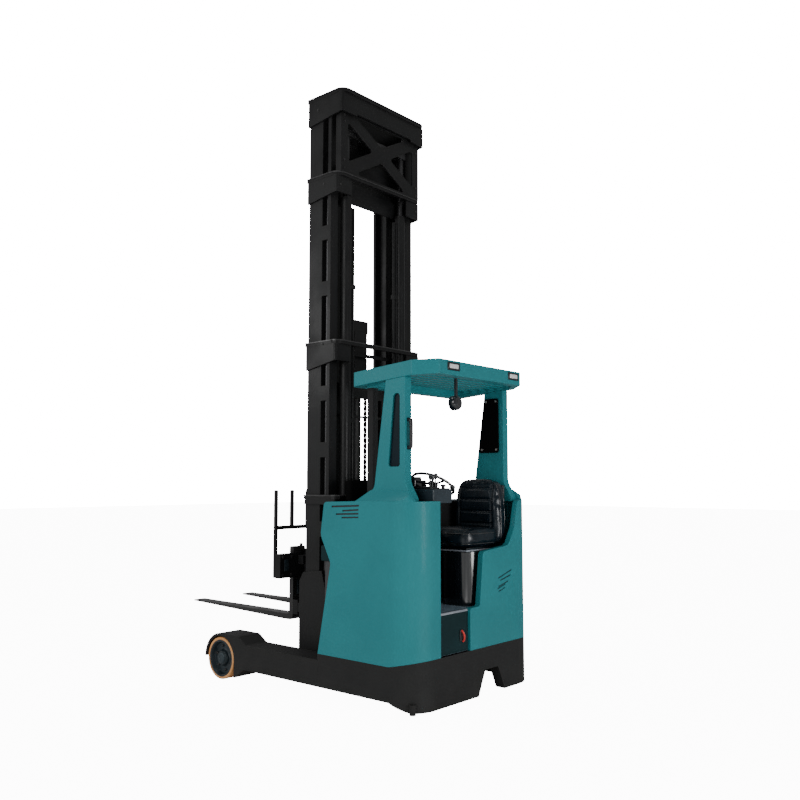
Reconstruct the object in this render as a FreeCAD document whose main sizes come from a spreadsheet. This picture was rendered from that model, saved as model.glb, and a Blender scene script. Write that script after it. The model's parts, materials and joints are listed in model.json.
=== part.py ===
import FreeCAD, Part
import Sketcher
import math
import os

os.makedirs("parts", exist_ok=True)
doc = FreeCAD.newDocument("reach_truck")

# Driving sizes in millimetres.
# X runs forward from the rear face of the chassis, Y to the truck's left and Z up from the floor.
SIZES = [
    # overall
    ("fork_tip", 2557),
    ("chassis_width", 1270),
    ("rear_corner_radius", 190),
    ("fit_gap", 0.3),
    ("running_gap", 8),
    # chassis tub and rear skirt
    ("tub_front", 780),
    ("tub_bottom", 99),
    ("tub_top", 300),
    ("skirt_top", 338),
    ("skirt_bottom", 50),
    ("skirt_slope_start", 60),
    ("skirt_slope_end", 190),
    ("skirt_notch_centre", -130),
    ("skirt_notch_top_width", 136),
    ("skirt_notch_bottom_width", 290),
    ("skirt_notch_top", 200),
    ("bay_rear", 70),
    ("bay_front", 520),
    ("bay_left", 150),
    ("bay_right", -410),
    # straddle legs
    ("leg_width", 185),
    ("leg_top", 262),
    ("leg_foot_rear", 1501),
    ("leg_foot_front", 1600),
    ("leg_foot_bottom", 32),
    ("leg_knee_rear", 1478),
    ("leg_knee_front", 1560),
    ("leg_cheek", 72),
    # load wheels
    ("load_axle_x", 1755),
    ("load_wheel_radius", 142.5),
    ("load_tyre_depth", 18),
    ("load_wheel_width", 100),
    ("load_axle_radius", 25),
    ("fender_gap", 10),
    ("fender_thick", 18),
    # drive unit
    ("drive_x", 320),
    ("drive_y", -130),
    ("drive_wheel_radius", 171),
    ("drive_tyre_depth", 28),
    ("drive_wheel_width", 130),
    ("drive_case_thick", 62),
    ("drive_ring_radius", 150),
    ("drive_plate_bottom", 430),
    ("drive_plate_thick", 20),
    ("motor_radius", 95),
    # side panels and rear cover
    ("panel_thick", 36),
    ("panel_bottom_front_x", 778),
    ("panel_notch_x", 669),
    ("panel_notch_z", 861),
    ("panel_bulge_x", 760),
    ("panel_bulge_z", 1029),
    ("panel_top_front_x", 731),
    ("panel_top_drop", 10),
    ("panel_top_rear_z", 1246),
    ("shoulder_rear", 45),
    ("shoulder_front", 470),
    ("shoulder_rise", 66),
    ("shoulder_slope", 62),
    ("opening_left", 384),
    ("opening_right", 95),
    ("opening_step_z", 590),
    ("opening_step_y", -7),
    ("opening_seat_y", -45),
    ("rear_cover_top", 925),
    ("rear_dip_y", -330),
    ("rear_dip_rise", 25),
    ("rear_shoulder_y", -400),
    ("rear_shoulder_rise", 135),
    ("rear_shoulder_lean", 45),
    ("rear_shoulder_drop", 7),
    ("rear_cover_front", 199.7),
    # cab inside
    ("floor_top", 585),
    ("floor_thick", 24),
    ("deck_front", 728),
    ("wall_thick", 12),
    ("deck_drop", 16),
    ("deck_thick", 24),
    ("battery_rear", 492),
    ("battery_front", 768),
    ("battery_side_gap", 13),
    ("battery_deck_gap", 106),
    # overhead guard
    ("guard_inset", 87),
    ("pillar_thick", 60),
    ("pillar_rear", 137),
    ("pillar_top_front", 292),
    ("pillar_foot_front", 385),
    ("pillar_foot_rise", 70),
    ("pillar_foot_rear", 80),
    ("pillar_foot_run", 160),
    ("pillar_window_rear", 42),
    ("pillar_window_top", 48),
    ("pillar_window_foot", 90),
    ("pillar_window_rise", 222),
    ("pillar_window_height", 440),
    ("roof_rear", -41),
    ("roof_front", 583),
    ("roof_corner_x", 88),
    ("roof_rear_inset", 108),
    ("roof_rear_top", 2095),
    ("roof_front_top", 2047),
    ("roof_depth", 91),
    ("roof_rim", 46),
    ("slat_width", 34),
    ("slat_pitch", 72),
    ("slat_depth", 30),
    ("lamp_left_y", 297),
    ("lamp_right_y", -353),
    ("lamp_half_width", 62),
    ("lamp_low", 61),
    ("lamp_high", 12),
    ("lamp_depth", 12),
    ("front_post_x", 484),
    ("front_post_inset", 93),
    ("front_post_size", 50),
    # mast
    ("mast_height", 4048),
    ("mast_bottom", 150),
    ("mast_clearance", 25),
    ("rail_rear", 990),
    ("rail_front", 1121),
    ("rail_depth", 72),
    ("rail_web", 16),
    ("rail_flange", 22),
    ("ladder_rear", 908),
    ("ladder_bar", 28),
    ("ladder_width", 69),
    ("ladder_plate", 14),
    ("ladder_batten", 100),
    ("cross_plate_rear", 942),
    ("cross_plate_thick", 12),
    ("cross_plate_drop", 36),
    ("cross_plate_height", 117),
    ("cross_bar_drop", 48),
    ("cross_bar_height", 24),
    ("middle_step", 77),
    ("middle_depth", 56),
    ("inner_step", 138),
    ("inner_depth", 56),
    ("stage_top_step", 22),
    ("cross_height", 110),
    ("yoke_rear", 840),
    ("yoke_front", 1133),
    ("yoke_middle_share", 0.5704),
    ("yoke_lower_share", 0.3145),
    ("yoke_flange", 26),
    ("yoke_plate", 13),
    ("yoke_lip", 14),
    ("yoke_radius", 60),
    ("yoke_wrap", 150),
    ("head_rear", 793),
    ("head_height", 578),
    ("brace_rear", 827),
    ("brace_side", 49),
    ("brace_frame", 69),
    ("brace_middle", 352),
    ("brace_window", 142),
    ("brace_window_tip", 90),
    ("brace_wide_half", 275),
    ("brace_wide_tip", 57),
    ("brace_wide_top", 204),
    ("brace_wide_bottom", 210),
    ("lift_barrel_radius", 38),
    ("lift_rod_radius", 24),
    ("lift_cylinder_x", 900),
    ("lift_cylinder_inset", 140),
    ("lift_barrel_bottom", 230),
    ("lift_barrel_drop", 720),
    ("lift_rod_drop", 283),
    ("feed_pipe_radius", 11),
    ("feed_pipe_offset", 71),
    ("free_barrel_radius", 46),
    ("free_foot_half", 60),
    ("free_rod_radius", 28),
    ("free_cylinder_x", 1048),
    ("free_cylinder_y", 40),
    ("free_barrel_bottom", 330),
    ("free_barrel_drop", 1790),
    ("free_rod_rise", 174),
    ("free_head_left", 76),
    ("free_head_right", 110),
    ("free_head_height", 80),
    ("free_head_depth", 44),
    ("reach_stroke", 560),
    # reach carriage
    ("reach_heel", 110),
    ("reach_toe", 129),
    ("reach_bottom", 110),
    ("reach_toe_height", 110),
    ("reach_waist_z", 260),
    ("reach_post_inset", 85),
    ("reach_post_top", 700),
    ("reach_heel_z", 520),
    ("reach_bar", 60),
    ("reach_lug_top", 760),
    ("reach_roller_radius", 50),
    ("reach_roller_z", 185),
    ("reach_groove_depth", 40),
    ("reach_cylinder_inset", 150),
    ("reach_barrel_rear", 160),
    ("reach_rod_rear", 200),
    ("reach_cylinder_z", 150),
    ("reach_barrel_radius", 32),
    ("reach_rod_radius", 16),
    # fork carriage
    ("lift_plate_rear", 1145),
    ("lift_plate_front", 1175),
    ("carriage_bottom", 470),
    ("carriage_top", 950),
    ("tilt_pin_x", 1212),
    ("tilt_pin_z", 560),
    ("tilt_rail_half_width", 330),
    ("tilt_rail_height", 60),
    ("tilt_tube_radius", 28),
    ("tilt_lug_inset", 73),
    ("tilt_lug_thick", 25),
    ("shift_face", 1300),
    ("fork_bar_rear", 1346),
    ("fork_bar_front", 1396.7),
    ("fork_lower_bar", 440),
    ("fork_lower_bar_top", 540),
    ("fork_upper_bar", 700),
    ("fork_upper_bar_top", 865),
    ("fork_frame_half_width", 455),
    ("fork_spacing", 480),
    ("fork_width", 100),
    ("fork_thick", 40),
    ("fork_bottom", 398),
    ("fork_shank_front", 1437),
    ("fork_hook_top", 890),
    ("fork_tip_thick", 10),
    ("backrest_top", 1305),
    ("backrest_bar", 26),
    ("backrest_pitch", 148),
    ("backrest_rail", 1030),
    # seat and controls
    ("seat_x", 255),
    ("seat_width", 420),
    ("seat_front", 60),
    ("seat_rear_gap", 205),
    ("cushion_bottom", 945),
    ("cushion_top", 1060),
    ("backrest_seat_top", 1395),
    ("backrest_seat_thick", 110),
    ("pedestal_front", 30),
    ("pedestal_width", 400),
    ("console_rear", 40),
    ("console_front", 250),
    ("console_right", 215),
    ("console_left", 400),
    ("console_bottom", 1232),
    ("console_top", 1318),
    ("column_rear", 110),
    ("column_front", 190),
    ("column_right", 260),
    ("steer_wheel_x", 180),
    ("steer_wheel_y", 230),
    ("steer_wheel_z", 1345),
    ("steer_wheel_radius", 135),
    ("steer_wheel_tilt", 30),
    ("steer_rim_radius", 9),
    # work lamp and pillar covers
    ("work_lamp_y", 215),
    ("work_lamp_z", 1848),
    ("work_lamp_radius", 46),
    ("work_lamp_rear", -14),
    ("work_lamp_front", 40),
    ("pillar_cover_bottom", 1561),
    ("pillar_cover_top", 1936),
    ("pillar_cover_thick", 12),
    ("pillar_cover_inset", 34),
]

sheet = doc.addObject("Spreadsheet::Sheet", "Sizes")
for row, (alias, value) in enumerate(SIZES, start=1):
    sheet.set(f"A{row}", alias)
    sheet.set(f"B{row}", str(value))
    sheet.setAlias(f"B{row}", alias)
doc.recompute()


class Size:
    """A length in millimetres, with the sheet expression that gives it."""

    def __init__(self, value, text):
        self.value = value
        self.text = text

    def __add__(self, other):
        other = size(other)
        return Size(self.value + other.value, f"({self.text} + {other.text})")

    def __sub__(self, other):
        other = size(other)
        return Size(self.value - other.value, f"({self.text} - {other.text})")

    def __mul__(self, factor):
        factor = size(factor)
        return Size(self.value * factor.value, f"({self.text} * {factor.text})")

    def __truediv__(self, factor):
        factor = size(factor)
        return Size(self.value / factor.value, f"({self.text} / {factor.text})")

    def __neg__(self):
        return Size(-self.value, f"(0 - {self.text})")

    def __radd__(self, other):
        return size(other) + self

    def __rsub__(self, other):
        return size(other) - self

    def __rmul__(self, other):
        return size(other) * self


def size(number):
    """A plain number as a Size; a Size stays as it is."""
    if isinstance(number, Size):
        return number
    return Size(float(number), f"{number:.6f}")


class Table:
    """The sheet's cells by name."""

    def __getattr__(self, alias):
        return Size(float(sheet.get(alias)), f"Sizes.{alias}")


d = Table()
nodes = {}


def bind(item, path, length):
    """Tie one property of an object to the sheet."""
    item.setExpression(path, size(length).text)


own_x = {}


def place(item, x=0, y=0, z=0):
    """Tie an object's position to the sheet."""
    for axis, length in (("x", x), ("y", y), ("z", z)):
        bind(item, f"Placement.Base.{axis}", length)
    own_x[item.Name] = size(x)


def box(x, y, z, name="Block"):
    """A block between two values along each axis."""
    item = doc.addObject("Part::Box", name)
    for path, (low, high) in (("Length", x), ("Width", y), ("Height", z)):
        bind(item, path, size(high) - low)
    place(item, x[0], y[0], z[0])
    return item


TURNS = {
    "X": FreeCAD.Rotation(FreeCAD.Vector(0, 1, 0), 90),
    "Y": FreeCAD.Rotation(FreeCAD.Vector(1, 0, 0), -90),
    "Z": FreeCAD.Rotation(),
}


def rod(axis, radius, centre, low, high, name="Rod"):
    """A cylinder along an axis from low to high; centre gives the other two places in order."""
    item = doc.addObject("Part::Cylinder", name)
    bind(item, "Radius", radius)
    bind(item, "Height", size(high) - low)
    item.Placement = FreeCAD.Placement(FreeCAD.Vector(), TURNS[axis])
    if axis == "X":
        place(item, low, centre[0], centre[1])
    elif axis == "Y":
        place(item, centre[0], low, centre[1])
    else:
        place(item, centre[0], centre[1], low)
    return item


def ring(axis, outer, inner, centre, low, high, name="Ring"):
    """A cylinder with a hole along its axis."""
    return cut(rod(axis, outer, centre, low, high), [rod(axis, inner, centre, low, high)], name)


def fuse(items, name="Joined"):
    item = doc.addObject("Part::MultiFuse", name)
    item.Shapes = items
    item.Refine = True
    return item


def cut(base, tools, name="Trimmed"):
    item = doc.addObject("Part::Cut", name)
    item.Base = base
    item.Tool = tools[0] if len(tools) == 1 else fuse(tools)
    item.Refine = True
    return item


def common(first, second, name="Shared"):
    item = doc.addObject("Part::Common", name)
    item.Base = first
    item.Tool = second
    item.Refine = True
    return item


def mirror(source, name):
    """The same piece on the other side of the centre plane."""
    item = doc.addObject("Part::Mirroring", name)
    item.Source = source
    item.Normal = FreeCAD.Vector(0, 1, 0)
    return item


def node(item, label, shift=True):
    """Name a finished sub-part; its own frame starts at the rear face of the chassis."""
    item.Label = label
    if shift:
        bind(item, "Placement.Base.x", own_x.get(item.Name, size(0)) - (d.fork_tip + d.roof_rear) / 2)
    nodes[label] = item
    return item


def both_sides(item, stem):
    """The left-hand piece and its mirror image."""
    node(item, f"{stem}_left")
    node(mirror(item, f"{stem}_mirror"), f"{stem}_right", shift=False)


def plane(body, role):
    for feature in body.Origin.OriginFeatures:
        if feature.Role == role:
            return feature


def corner_arc(before, corner, after, radius):
    """Where the arc that rounds a corner starts and ends, and its centre."""
    back = (before - corner).normalize()
    ahead = (after - corner).normalize()
    half = back.getAngle(ahead) / 2
    reach = radius / math.tan(half)
    centre = corner + (back + ahead).normalize() * (radius / math.sin(half))
    return corner + back * reach, corner + ahead * reach, centre


def outline(body, role, corners, offset):
    """A closed sketch through corners given as (across, up) or (across, up, radius of the rounding)."""
    sketch = body.newObject("Sketcher::SketchObject", "Outline")
    sketch.AttachmentSupport = [(plane(body, role), "")]
    sketch.MapMode = "FlatFace"
    bind(sketch, "AttachmentOffset.Base.z", offset)
    points = [FreeCAD.Vector(size(c[0]).value, size(c[1]).value, 0) for c in corners]
    count = len(points)
    starts, ends, arcs = [], [], {}
    for i, corner in enumerate(corners):
        if len(corner) < 3:
            starts.append(points[i])
            ends.append(points[i])
            continue
        entry, leave, centre = corner_arc(points[i - 1], points[i], points[(i + 1) % count], size(corner[2]).value)
        ends.append(entry)
        starts.append(leave)
        arcs[i] = centre
    lines = []
    for i in range(count):
        lines.append(sketch.addGeometry(Part.LineSegment(starts[i], ends[(i + 1) % count]), False))
    for i, corner in enumerate(corners):
        before, after = lines[i - 1], lines[i]
        if i not in arcs:
            sketch.addConstraint(Sketcher.Constraint("Coincident", before, 2, after, 1))
            hold(sketch, after, 1, corner)
            continue
        turn = (points[i] - points[i - 1]).cross(points[(i + 1) % count] - points[i]).z
        radius = size(corner[2]).value
        first = ends[i] - arcs[i]
        last = starts[i] - arcs[i]
        angles = [math.atan2(first.y, first.x), math.atan2(last.y, last.x)]
        if turn < 0:
            angles.reverse()
        circle = Part.Circle(arcs[i], FreeCAD.Vector(0, 0, 1), radius)
        arc = sketch.addGeometry(Part.ArcOfCircle(circle, angles[0], angles[1]), False)
        near, far = (1, 2) if turn > 0 else (2, 1)
        mark = sketch.addGeometry(Part.Point(points[i]), True)
        hold(sketch, mark, 1, corner)
        sketch.addConstraint(Sketcher.Constraint("PointOnObject", mark, 1, before))
        sketch.addConstraint(Sketcher.Constraint("PointOnObject", mark, 1, after))
        sketch.addConstraint(Sketcher.Constraint("Tangent", before, 2, arc, near))
        sketch.addConstraint(Sketcher.Constraint("Tangent", after, 1, arc, far))
        index = sketch.addConstraint(Sketcher.Constraint("Radius", arc, radius))
        bind(sketch, f"Constraints[{index}]", corner[2])
    return sketch


def hold(sketch, geometry, point, corner):
    """Fix a sketch point at its place from the sheet."""
    for kind, length in (("DistanceX", corner[0]), ("DistanceY", corner[1])):
        length = size(length)
        index = sketch.addConstraint(Sketcher.Constraint(kind, -1, 1, geometry, point, length.value))
        bind(sketch, f"Constraints[{index}]", length)


PLANES = {"Z": "XY_Plane", "Y": "XZ_Plane", "X": "YZ_Plane"}


def pad(axis, corners, low, high, body=None, name="Plate"):
    """Extrude an outline along an axis from low to high; the outline lies across that axis."""
    if body is None:
        body = doc.addObject("PartDesign::Body", name)
    offset = -size(high) if axis == "Y" else size(low)
    sketch = outline(body, PLANES[axis], corners, offset)
    feature = body.newObject("PartDesign::Pad", "Pad")
    feature.Profile = sketch
    bind(feature, "Length", size(high) - low)
    return body


def pocket(body, axis, corners, low, high):
    """Cut an outline out of a body along an axis from low to high."""
    offset = -size(low) if axis == "Y" else size(high)
    sketch = outline(body, PLANES[axis], corners, offset)
    feature = body.newObject("PartDesign::Pocket", "Pocket")
    feature.Profile = sketch
    bind(feature, "Length", size(high) - low)
    return body


half = d.chassis_width / 2
leg_inner = half - d.leg_width
guard_half = half - d.guard_inset
outer_y = leg_inner - d.mast_clearance
deck_top = d.panel_top_rear_z - d.deck_drop
shoulder_top = d.panel_top_rear_z + d.shoulder_rise
pillar_foot_z = deck_top + d.pillar_foot_rise
reach_rear = d.rail_rear - d.reach_heel
reach_front = d.rail_front + d.reach_toe
seat_rear = d.seat_rear_gap - half


def plan(front, inset=0):
    """Plan outline of the chassis, its two rear corners rounded."""
    side = half - inset
    radius = d.rear_corner_radius - inset
    return [(inset, -side, radius), (front, -side), (front, side), (inset, side, radius)]


# Chassis tub with its rear skirt, drive bay and skirt notch
tub = pad("Z", plan(d.tub_front), d.skirt_bottom, d.skirt_top, name="Tub")
over = d.skirt_top + 10
under = d.skirt_bottom - 10
pocket(tub, "Y", [(d.skirt_slope_end, d.tub_top), (d.tub_front + 10, d.tub_top), (d.tub_front + 10, over),
                  (-10, over), (0, d.skirt_top)], -half - 10, half + 10)
pocket(tub, "Y", [(d.skirt_slope_start, d.skirt_bottom), (d.skirt_slope_start, under),
                  (d.tub_front + 10, under), (d.tub_front + 10, d.tub_bottom), (d.skirt_slope_end, d.tub_bottom)],
       -half - 10, half + 10)
notch = d.skirt_notch_centre
pocket(tub, "X", [(notch - d.skirt_notch_bottom_width / 2, under), (notch + d.skirt_notch_bottom_width / 2, under),
                  (notch + d.skirt_notch_top_width / 2, d.skirt_notch_top),
                  (notch - d.skirt_notch_top_width / 2, d.skirt_notch_top)], -10, d.bay_rear + 10)
pocket(tub, "Z", [(d.bay_rear, d.bay_right), (d.bay_front, d.bay_right), (d.bay_front, d.bay_left),
                  (d.bay_rear, d.bay_left)], under, over)
reach_at = (leg_inner - d.reach_cylinder_inset, d.reach_cylinder_z)
tunnel = rod("X", d.reach_barrel_radius + 4, reach_at, 150, d.tub_front + 10)
node(cut(tub, [tunnel], "Tub_bored"), "chassis_tub")

# Straddle legs, each with a cheek that carries the load axle and a fender over the wheel
axle_z = d.load_wheel_radius
well = d.load_wheel_radius + d.fender_gap
fender = well + d.fender_thick
leg_nose = d.load_axle_x + fender
leg_crown = axle_z + fender
leg = pad("Y", [(d.tub_front + d.fit_gap, d.tub_bottom), (d.leg_foot_rear, d.tub_bottom),
                (d.leg_foot_front, d.leg_foot_bottom), (d.load_axle_x, d.leg_foot_bottom),
                (leg_nose, axle_z), (leg_nose, leg_crown, fender - 1), (d.leg_knee_front, leg_crown, 30),
                (d.leg_knee_rear, d.leg_top, 30), (d.tub_front + d.fit_gap, d.leg_top)],
          leg_inner, half, name="Leg")
cheek_outer = leg_inner + d.leg_cheek
wheel_well = rod("Y", well, (d.load_axle_x, axle_z), cheek_outer, half + 10)
well_front = box((d.load_axle_x, leg_nose + 10), (cheek_outer, half + 10), (0, axle_z))
well_foot = box((d.load_axle_x - well, d.load_axle_x + 1), (cheek_outer, half + 10), (0, axle_z))
axle = rod("Y", d.load_axle_radius - 0.05, (d.load_axle_x, axle_z), cheek_outer - 10, half - 22)
groove_low = d.reach_roller_z - d.reach_roller_radius - d.fit_gap
groove_high = d.reach_roller_z + d.reach_roller_radius + 2
groove = box((d.tub_front - 1, reach_front + d.reach_stroke), (leg_inner - 1, leg_inner + d.reach_groove_depth),
             (groove_low, groove_high))
both_sides(fuse([cut(leg, [wheel_well, well_front, well_foot, groove]), axle], "Leg_left"), "leg")

# Load wheels: polyurethane ring on a dished hub, each in its own frame at the axle
wheel_inner = cheek_outer + d.running_gap
wheel_outer = wheel_inner + d.load_wheel_width
hub_radius = d.load_wheel_radius - d.load_tyre_depth
load_centre = (d.load_axle_x, axle_z)
tyre = ring("Y", d.load_wheel_radius, hub_radius, load_centre, wheel_inner, wheel_outer, "Load_tyre")
both_sides(tyre, "load_tyre")
hub = cut(rod("Y", hub_radius, load_centre, wheel_inner, wheel_outer - 6),
          [rod("Y", d.load_axle_radius, load_centre, wheel_inner - 1, wheel_outer),
           ring("Y", hub_radius - 14, d.load_axle_radius + 26, load_centre, wheel_outer - 30, wheel_outer)],
          "Load_hub")
both_sides(hub, "load_hub")

# Drive unit: slewing ring, gear case beside the wheel, motor on top, and the wheel
drive_z = d.drive_wheel_radius
panel_base = d.tub_top + d.fit_gap
panel_top_front_z = d.panel_top_rear_z - d.panel_top_drop
plate_low = d.drive_plate_bottom
bridge_x = (d.skirt_slope_end + 4, d.battery_rear - 10)
bridge = fuse([box(bridge_x, (d.bay_right - 20, d.bay_left + 20), (plate_low, plate_low + d.drive_plate_thick)),
               box(bridge_x, (d.bay_right - 20, d.bay_right - 2), (panel_base, plate_low)),
               box(bridge_x, (d.bay_left + 2, d.bay_left + 20), (panel_base, plate_low))])
bridge = cut(bridge, [rod("Z", d.motor_radius + 12, (d.drive_x, d.drive_y), plate_low - 10, plate_low + 60)],
             "Bridge")
node(bridge, "drive_bridge")
case_inner = d.drive_y + d.drive_wheel_width / 2 + d.running_gap
drive_case = pad("Y", [(d.drive_x - 70, drive_z - 60, 30), (d.drive_x + 70, drive_z - 60, 30),
                       (d.drive_x + 95, plate_low - 40), (d.drive_x - 95, plate_low - 40)],
                 case_inner, case_inner + d.drive_case_thick, name="Gear_case")
drive_parts = [drive_case,
               rod("Z", d.drive_ring_radius, (d.drive_x, d.drive_y), plate_low - 46, plate_low - d.fit_gap),
               rod("Z", d.motor_radius, (d.drive_x, d.drive_y), plate_low - 5, plate_low + 110),
               rod("Y", 24.95, (d.drive_x, drive_z), d.drive_y - 20, case_inner + 5)]
node(fuse(drive_parts, "Drive_unit"), "drive_unit")
drive_low = d.drive_y - d.drive_wheel_width / 2
drive_high = d.drive_y + d.drive_wheel_width / 2
drive_hub_radius = d.drive_wheel_radius - d.drive_tyre_depth
node(ring("Y", d.drive_wheel_radius, drive_hub_radius, (d.drive_x, drive_z), drive_low, drive_high), "drive_tyre")
node(ring("Y", drive_hub_radius, 25, (d.drive_x, drive_z), drive_low + 8, drive_high), "drive_hub")

# Side panels: the plan outline's shell cut to the side view's outline, both sides alike
skirt_base = d.skirt_top + d.fit_gap
shell_outer = pad("Z", plan(d.tub_front), panel_base, d.panel_top_rear_z + 200, name="Shell_outer")
shell = pocket(shell_outer, "Z", plan(d.tub_front + 40, d.panel_thick), panel_base - 10, d.panel_top_rear_z + 210)
side_view = pad("Y", [(-10, skirt_base + 2), (0, skirt_base), (d.skirt_slope_end, panel_base),
                      (d.panel_bottom_front_x, panel_base), (d.panel_notch_x, d.panel_notch_z, 60),
                      (d.panel_bulge_x, d.panel_bulge_z, 90), (d.panel_top_front_x, panel_top_front_z, 26),
                      (d.pillar_foot_front, d.panel_top_rear_z), (-10, d.panel_top_rear_z)],
                d.opening_left, half + 10, name="Panel_side_view")

# Shoulders that slope from the top of each side panel up to the foot of the overhead guard
shoulder_low = deck_top + d.fit_gap
shoulder_edge = d.panel_top_rear_z - 6
shoulder_in = guard_half + d.fit_gap
shoulder_across = pad("X", [(shoulder_in, shoulder_low), (half - 1, shoulder_low),
                            (half - 1, shoulder_edge, 8), (shoulder_in, shoulder_top)],
                      d.shoulder_rear, d.shoulder_front, name="Shoulder_across")
shoulder_along = pad("Y", [(d.shoulder_rear, shoulder_low), (d.shoulder_rear, shoulder_edge),
                           (d.shoulder_rear + d.shoulder_slope, shoulder_top + 1, 30),
                           (d.shoulder_front - d.shoulder_slope, shoulder_top + 1, 30),
                           (d.shoulder_front, shoulder_edge), (d.shoulder_front, shoulder_low)],
                     shoulder_in - 5, half + 5, name="Shoulder_along")
shoulder_plan = pad("Z", plan(d.tub_front, 1), shoulder_low - 10, shoulder_top + 10, name="Shoulder_plan")
shoulder = common(common(shoulder_across, shoulder_along), shoulder_plan, "Shoulder")
node(fuse([common(shell, side_view), shoulder], "Panel_left"), "side_panel_left")

side_view_right = pad("Y", [(200, panel_base),
                            (d.panel_bottom_front_x, panel_base), (d.panel_notch_x, d.panel_notch_z, 60),
                            (d.panel_bulge_x, d.panel_bulge_z, 90), (d.panel_top_front_x, panel_top_front_z, 26),
                            (d.pillar_foot_front, d.panel_top_rear_z), (200, d.panel_top_rear_z)],
                      -half - 10, -half + d.panel_thick + 5, name="Panel_right_view")
shoulder_right = cut(mirror(shoulder, "Shoulder_right"),
                     [box((d.shoulder_rear - 10, 200), (-half - 10, -guard_half + 10), (deck_top - 10, shoulder_top + 20))])
node(fuse([common(shell, side_view_right), shoulder_right], "Panel_right"), "side_panel_right")

rear_view = pad("X", [(d.opening_right, skirt_base), (d.opening_right, d.opening_step_z, 20),
                      (d.opening_step_y, d.opening_step_z + 4, 20), (d.opening_seat_y, d.rear_cover_top, 30),
                      (d.rear_dip_y, d.rear_cover_top + d.rear_dip_rise, 60),
                      (d.rear_shoulder_y, d.rear_cover_top + d.rear_shoulder_rise, 60),
                      (d.rear_shoulder_y - d.rear_shoulder_lean, d.panel_top_rear_z - d.rear_shoulder_drop, 30),
                      (-half - 10, d.panel_top_rear_z - d.rear_shoulder_drop),
                      (-half - 10, skirt_base - 60), (-half + 150, skirt_base - 60)],
                -5, d.rear_cover_front, name="Rear_view")
slope = pad("Y", [(-10, skirt_base + 2), (0, skirt_base), (d.skirt_slope_end, panel_base), (260, panel_base),
                  (260, shoulder_top + 50), (-10, shoulder_top + 50)], -half - 10, half, name="Rear_slope")
rear_corner = common(mirror(shoulder, "Shoulder_rear"),
                     box((0, d.rear_cover_front), (-half, 0), (0, shoulder_top + 10)))
node(fuse([common(common(shell, rear_view), slope), rear_corner], "Rear_cover"), "rear_cover")

# Cab inside: floor, riser, bulkhead and the deck over the battery
wall = half - d.panel_thick - d.fit_gap
seat_low = d.floor_top - d.floor_thick
partition = (d.battery_rear - 4 - d.wall_thick, d.battery_rear - 4)
floor_radius = d.rear_corner_radius - d.panel_thick
floor_rear = d.panel_thick + d.fit_gap
floor = pad("Z", [(floor_rear, -wall, floor_radius), (partition[0] - 2, -wall), (partition[0] - 2, wall),
                  (floor_rear, wall, floor_radius)], seat_low, d.floor_top, name="Floor")
riser = box((d.panel_thick - 16, floor_rear + 1), (d.opening_right + 2, d.opening_left - 2),
            (d.skirt_top + 2, d.floor_top))
node(fuse([floor, riser], "Floor_and_riser"), "cab_floor")
battery_wall = box(partition, (-wall, wall), (seat_low, deck_top))
battery_deck = box((partition[0], d.deck_front), (-wall, wall), (deck_top - d.deck_thick, deck_top))
node(fuse([battery_wall, battery_deck], "Battery_cover"), "battery_cover")
battery_half = wall - d.battery_side_gap
battery_top = deck_top - d.deck_thick - d.battery_deck_gap
node(box((d.battery_rear, d.battery_front), (-battery_half, battery_half), (panel_base, battery_top)), "battery")

# Overhead guard: two plate pillars, the left one with a window, one slim front post and a slatted roof
guard_inner = guard_half - d.pillar_thick
roof_slope = (d.roof_front_top - d.roof_rear_top) / (d.roof_front - d.roof_rear)


def roof_under(x):
    """Height of the roof's sloping underside at a place along the truck."""
    return d.roof_rear_top - d.roof_depth + (x - d.roof_rear) * roof_slope


pillar_outline = [(d.pillar_foot_rear, pillar_foot_z - 38), (d.pillar_rear, pillar_foot_z + 60, 90),
                  (d.pillar_rear, roof_under(d.pillar_rear) - d.fit_gap),
                  (d.pillar_top_front, roof_under(d.pillar_top_front) - d.fit_gap),
                  (d.pillar_foot_front, pillar_foot_z + 20, 60),
                  (d.pillar_foot_front + d.pillar_foot_run, shoulder_low), (d.pillar_foot_rear, shoulder_low)]
pillar_left = pad("Y", pillar_outline, guard_inner, guard_half, name="Pillar_left")
pillar_right = pad("Y", pillar_outline, -guard_half, -guard_inner, name="Pillar_right")
window_rear = d.pillar_rear + d.pillar_window_rear
window_low = deck_top + d.pillar_window_rise
window_high = window_low + d.pillar_window_height
pocket(pillar_left, "Y", [(window_rear, window_low, 16), (window_rear, window_high, 22),
                          (window_rear + d.pillar_window_top, window_high, 22),
                          (window_rear + d.pillar_window_foot, window_low, 16)],
       guard_inner - 5, guard_half + 5)
node(fuse([pillar_left, pillar_right], "Pillars"), "pillars")
post_half = d.front_post_size / 2
front_post_y = guard_half - d.front_post_inset
slat_low = d.roof_front_top - 40
post = box((d.front_post_x - post_half, d.front_post_x + post_half),
           (front_post_y - post_half, front_post_y + post_half),
           (shoulder_low, slat_low - d.fit_gap), "Post")
node(post, "front_post")

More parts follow.
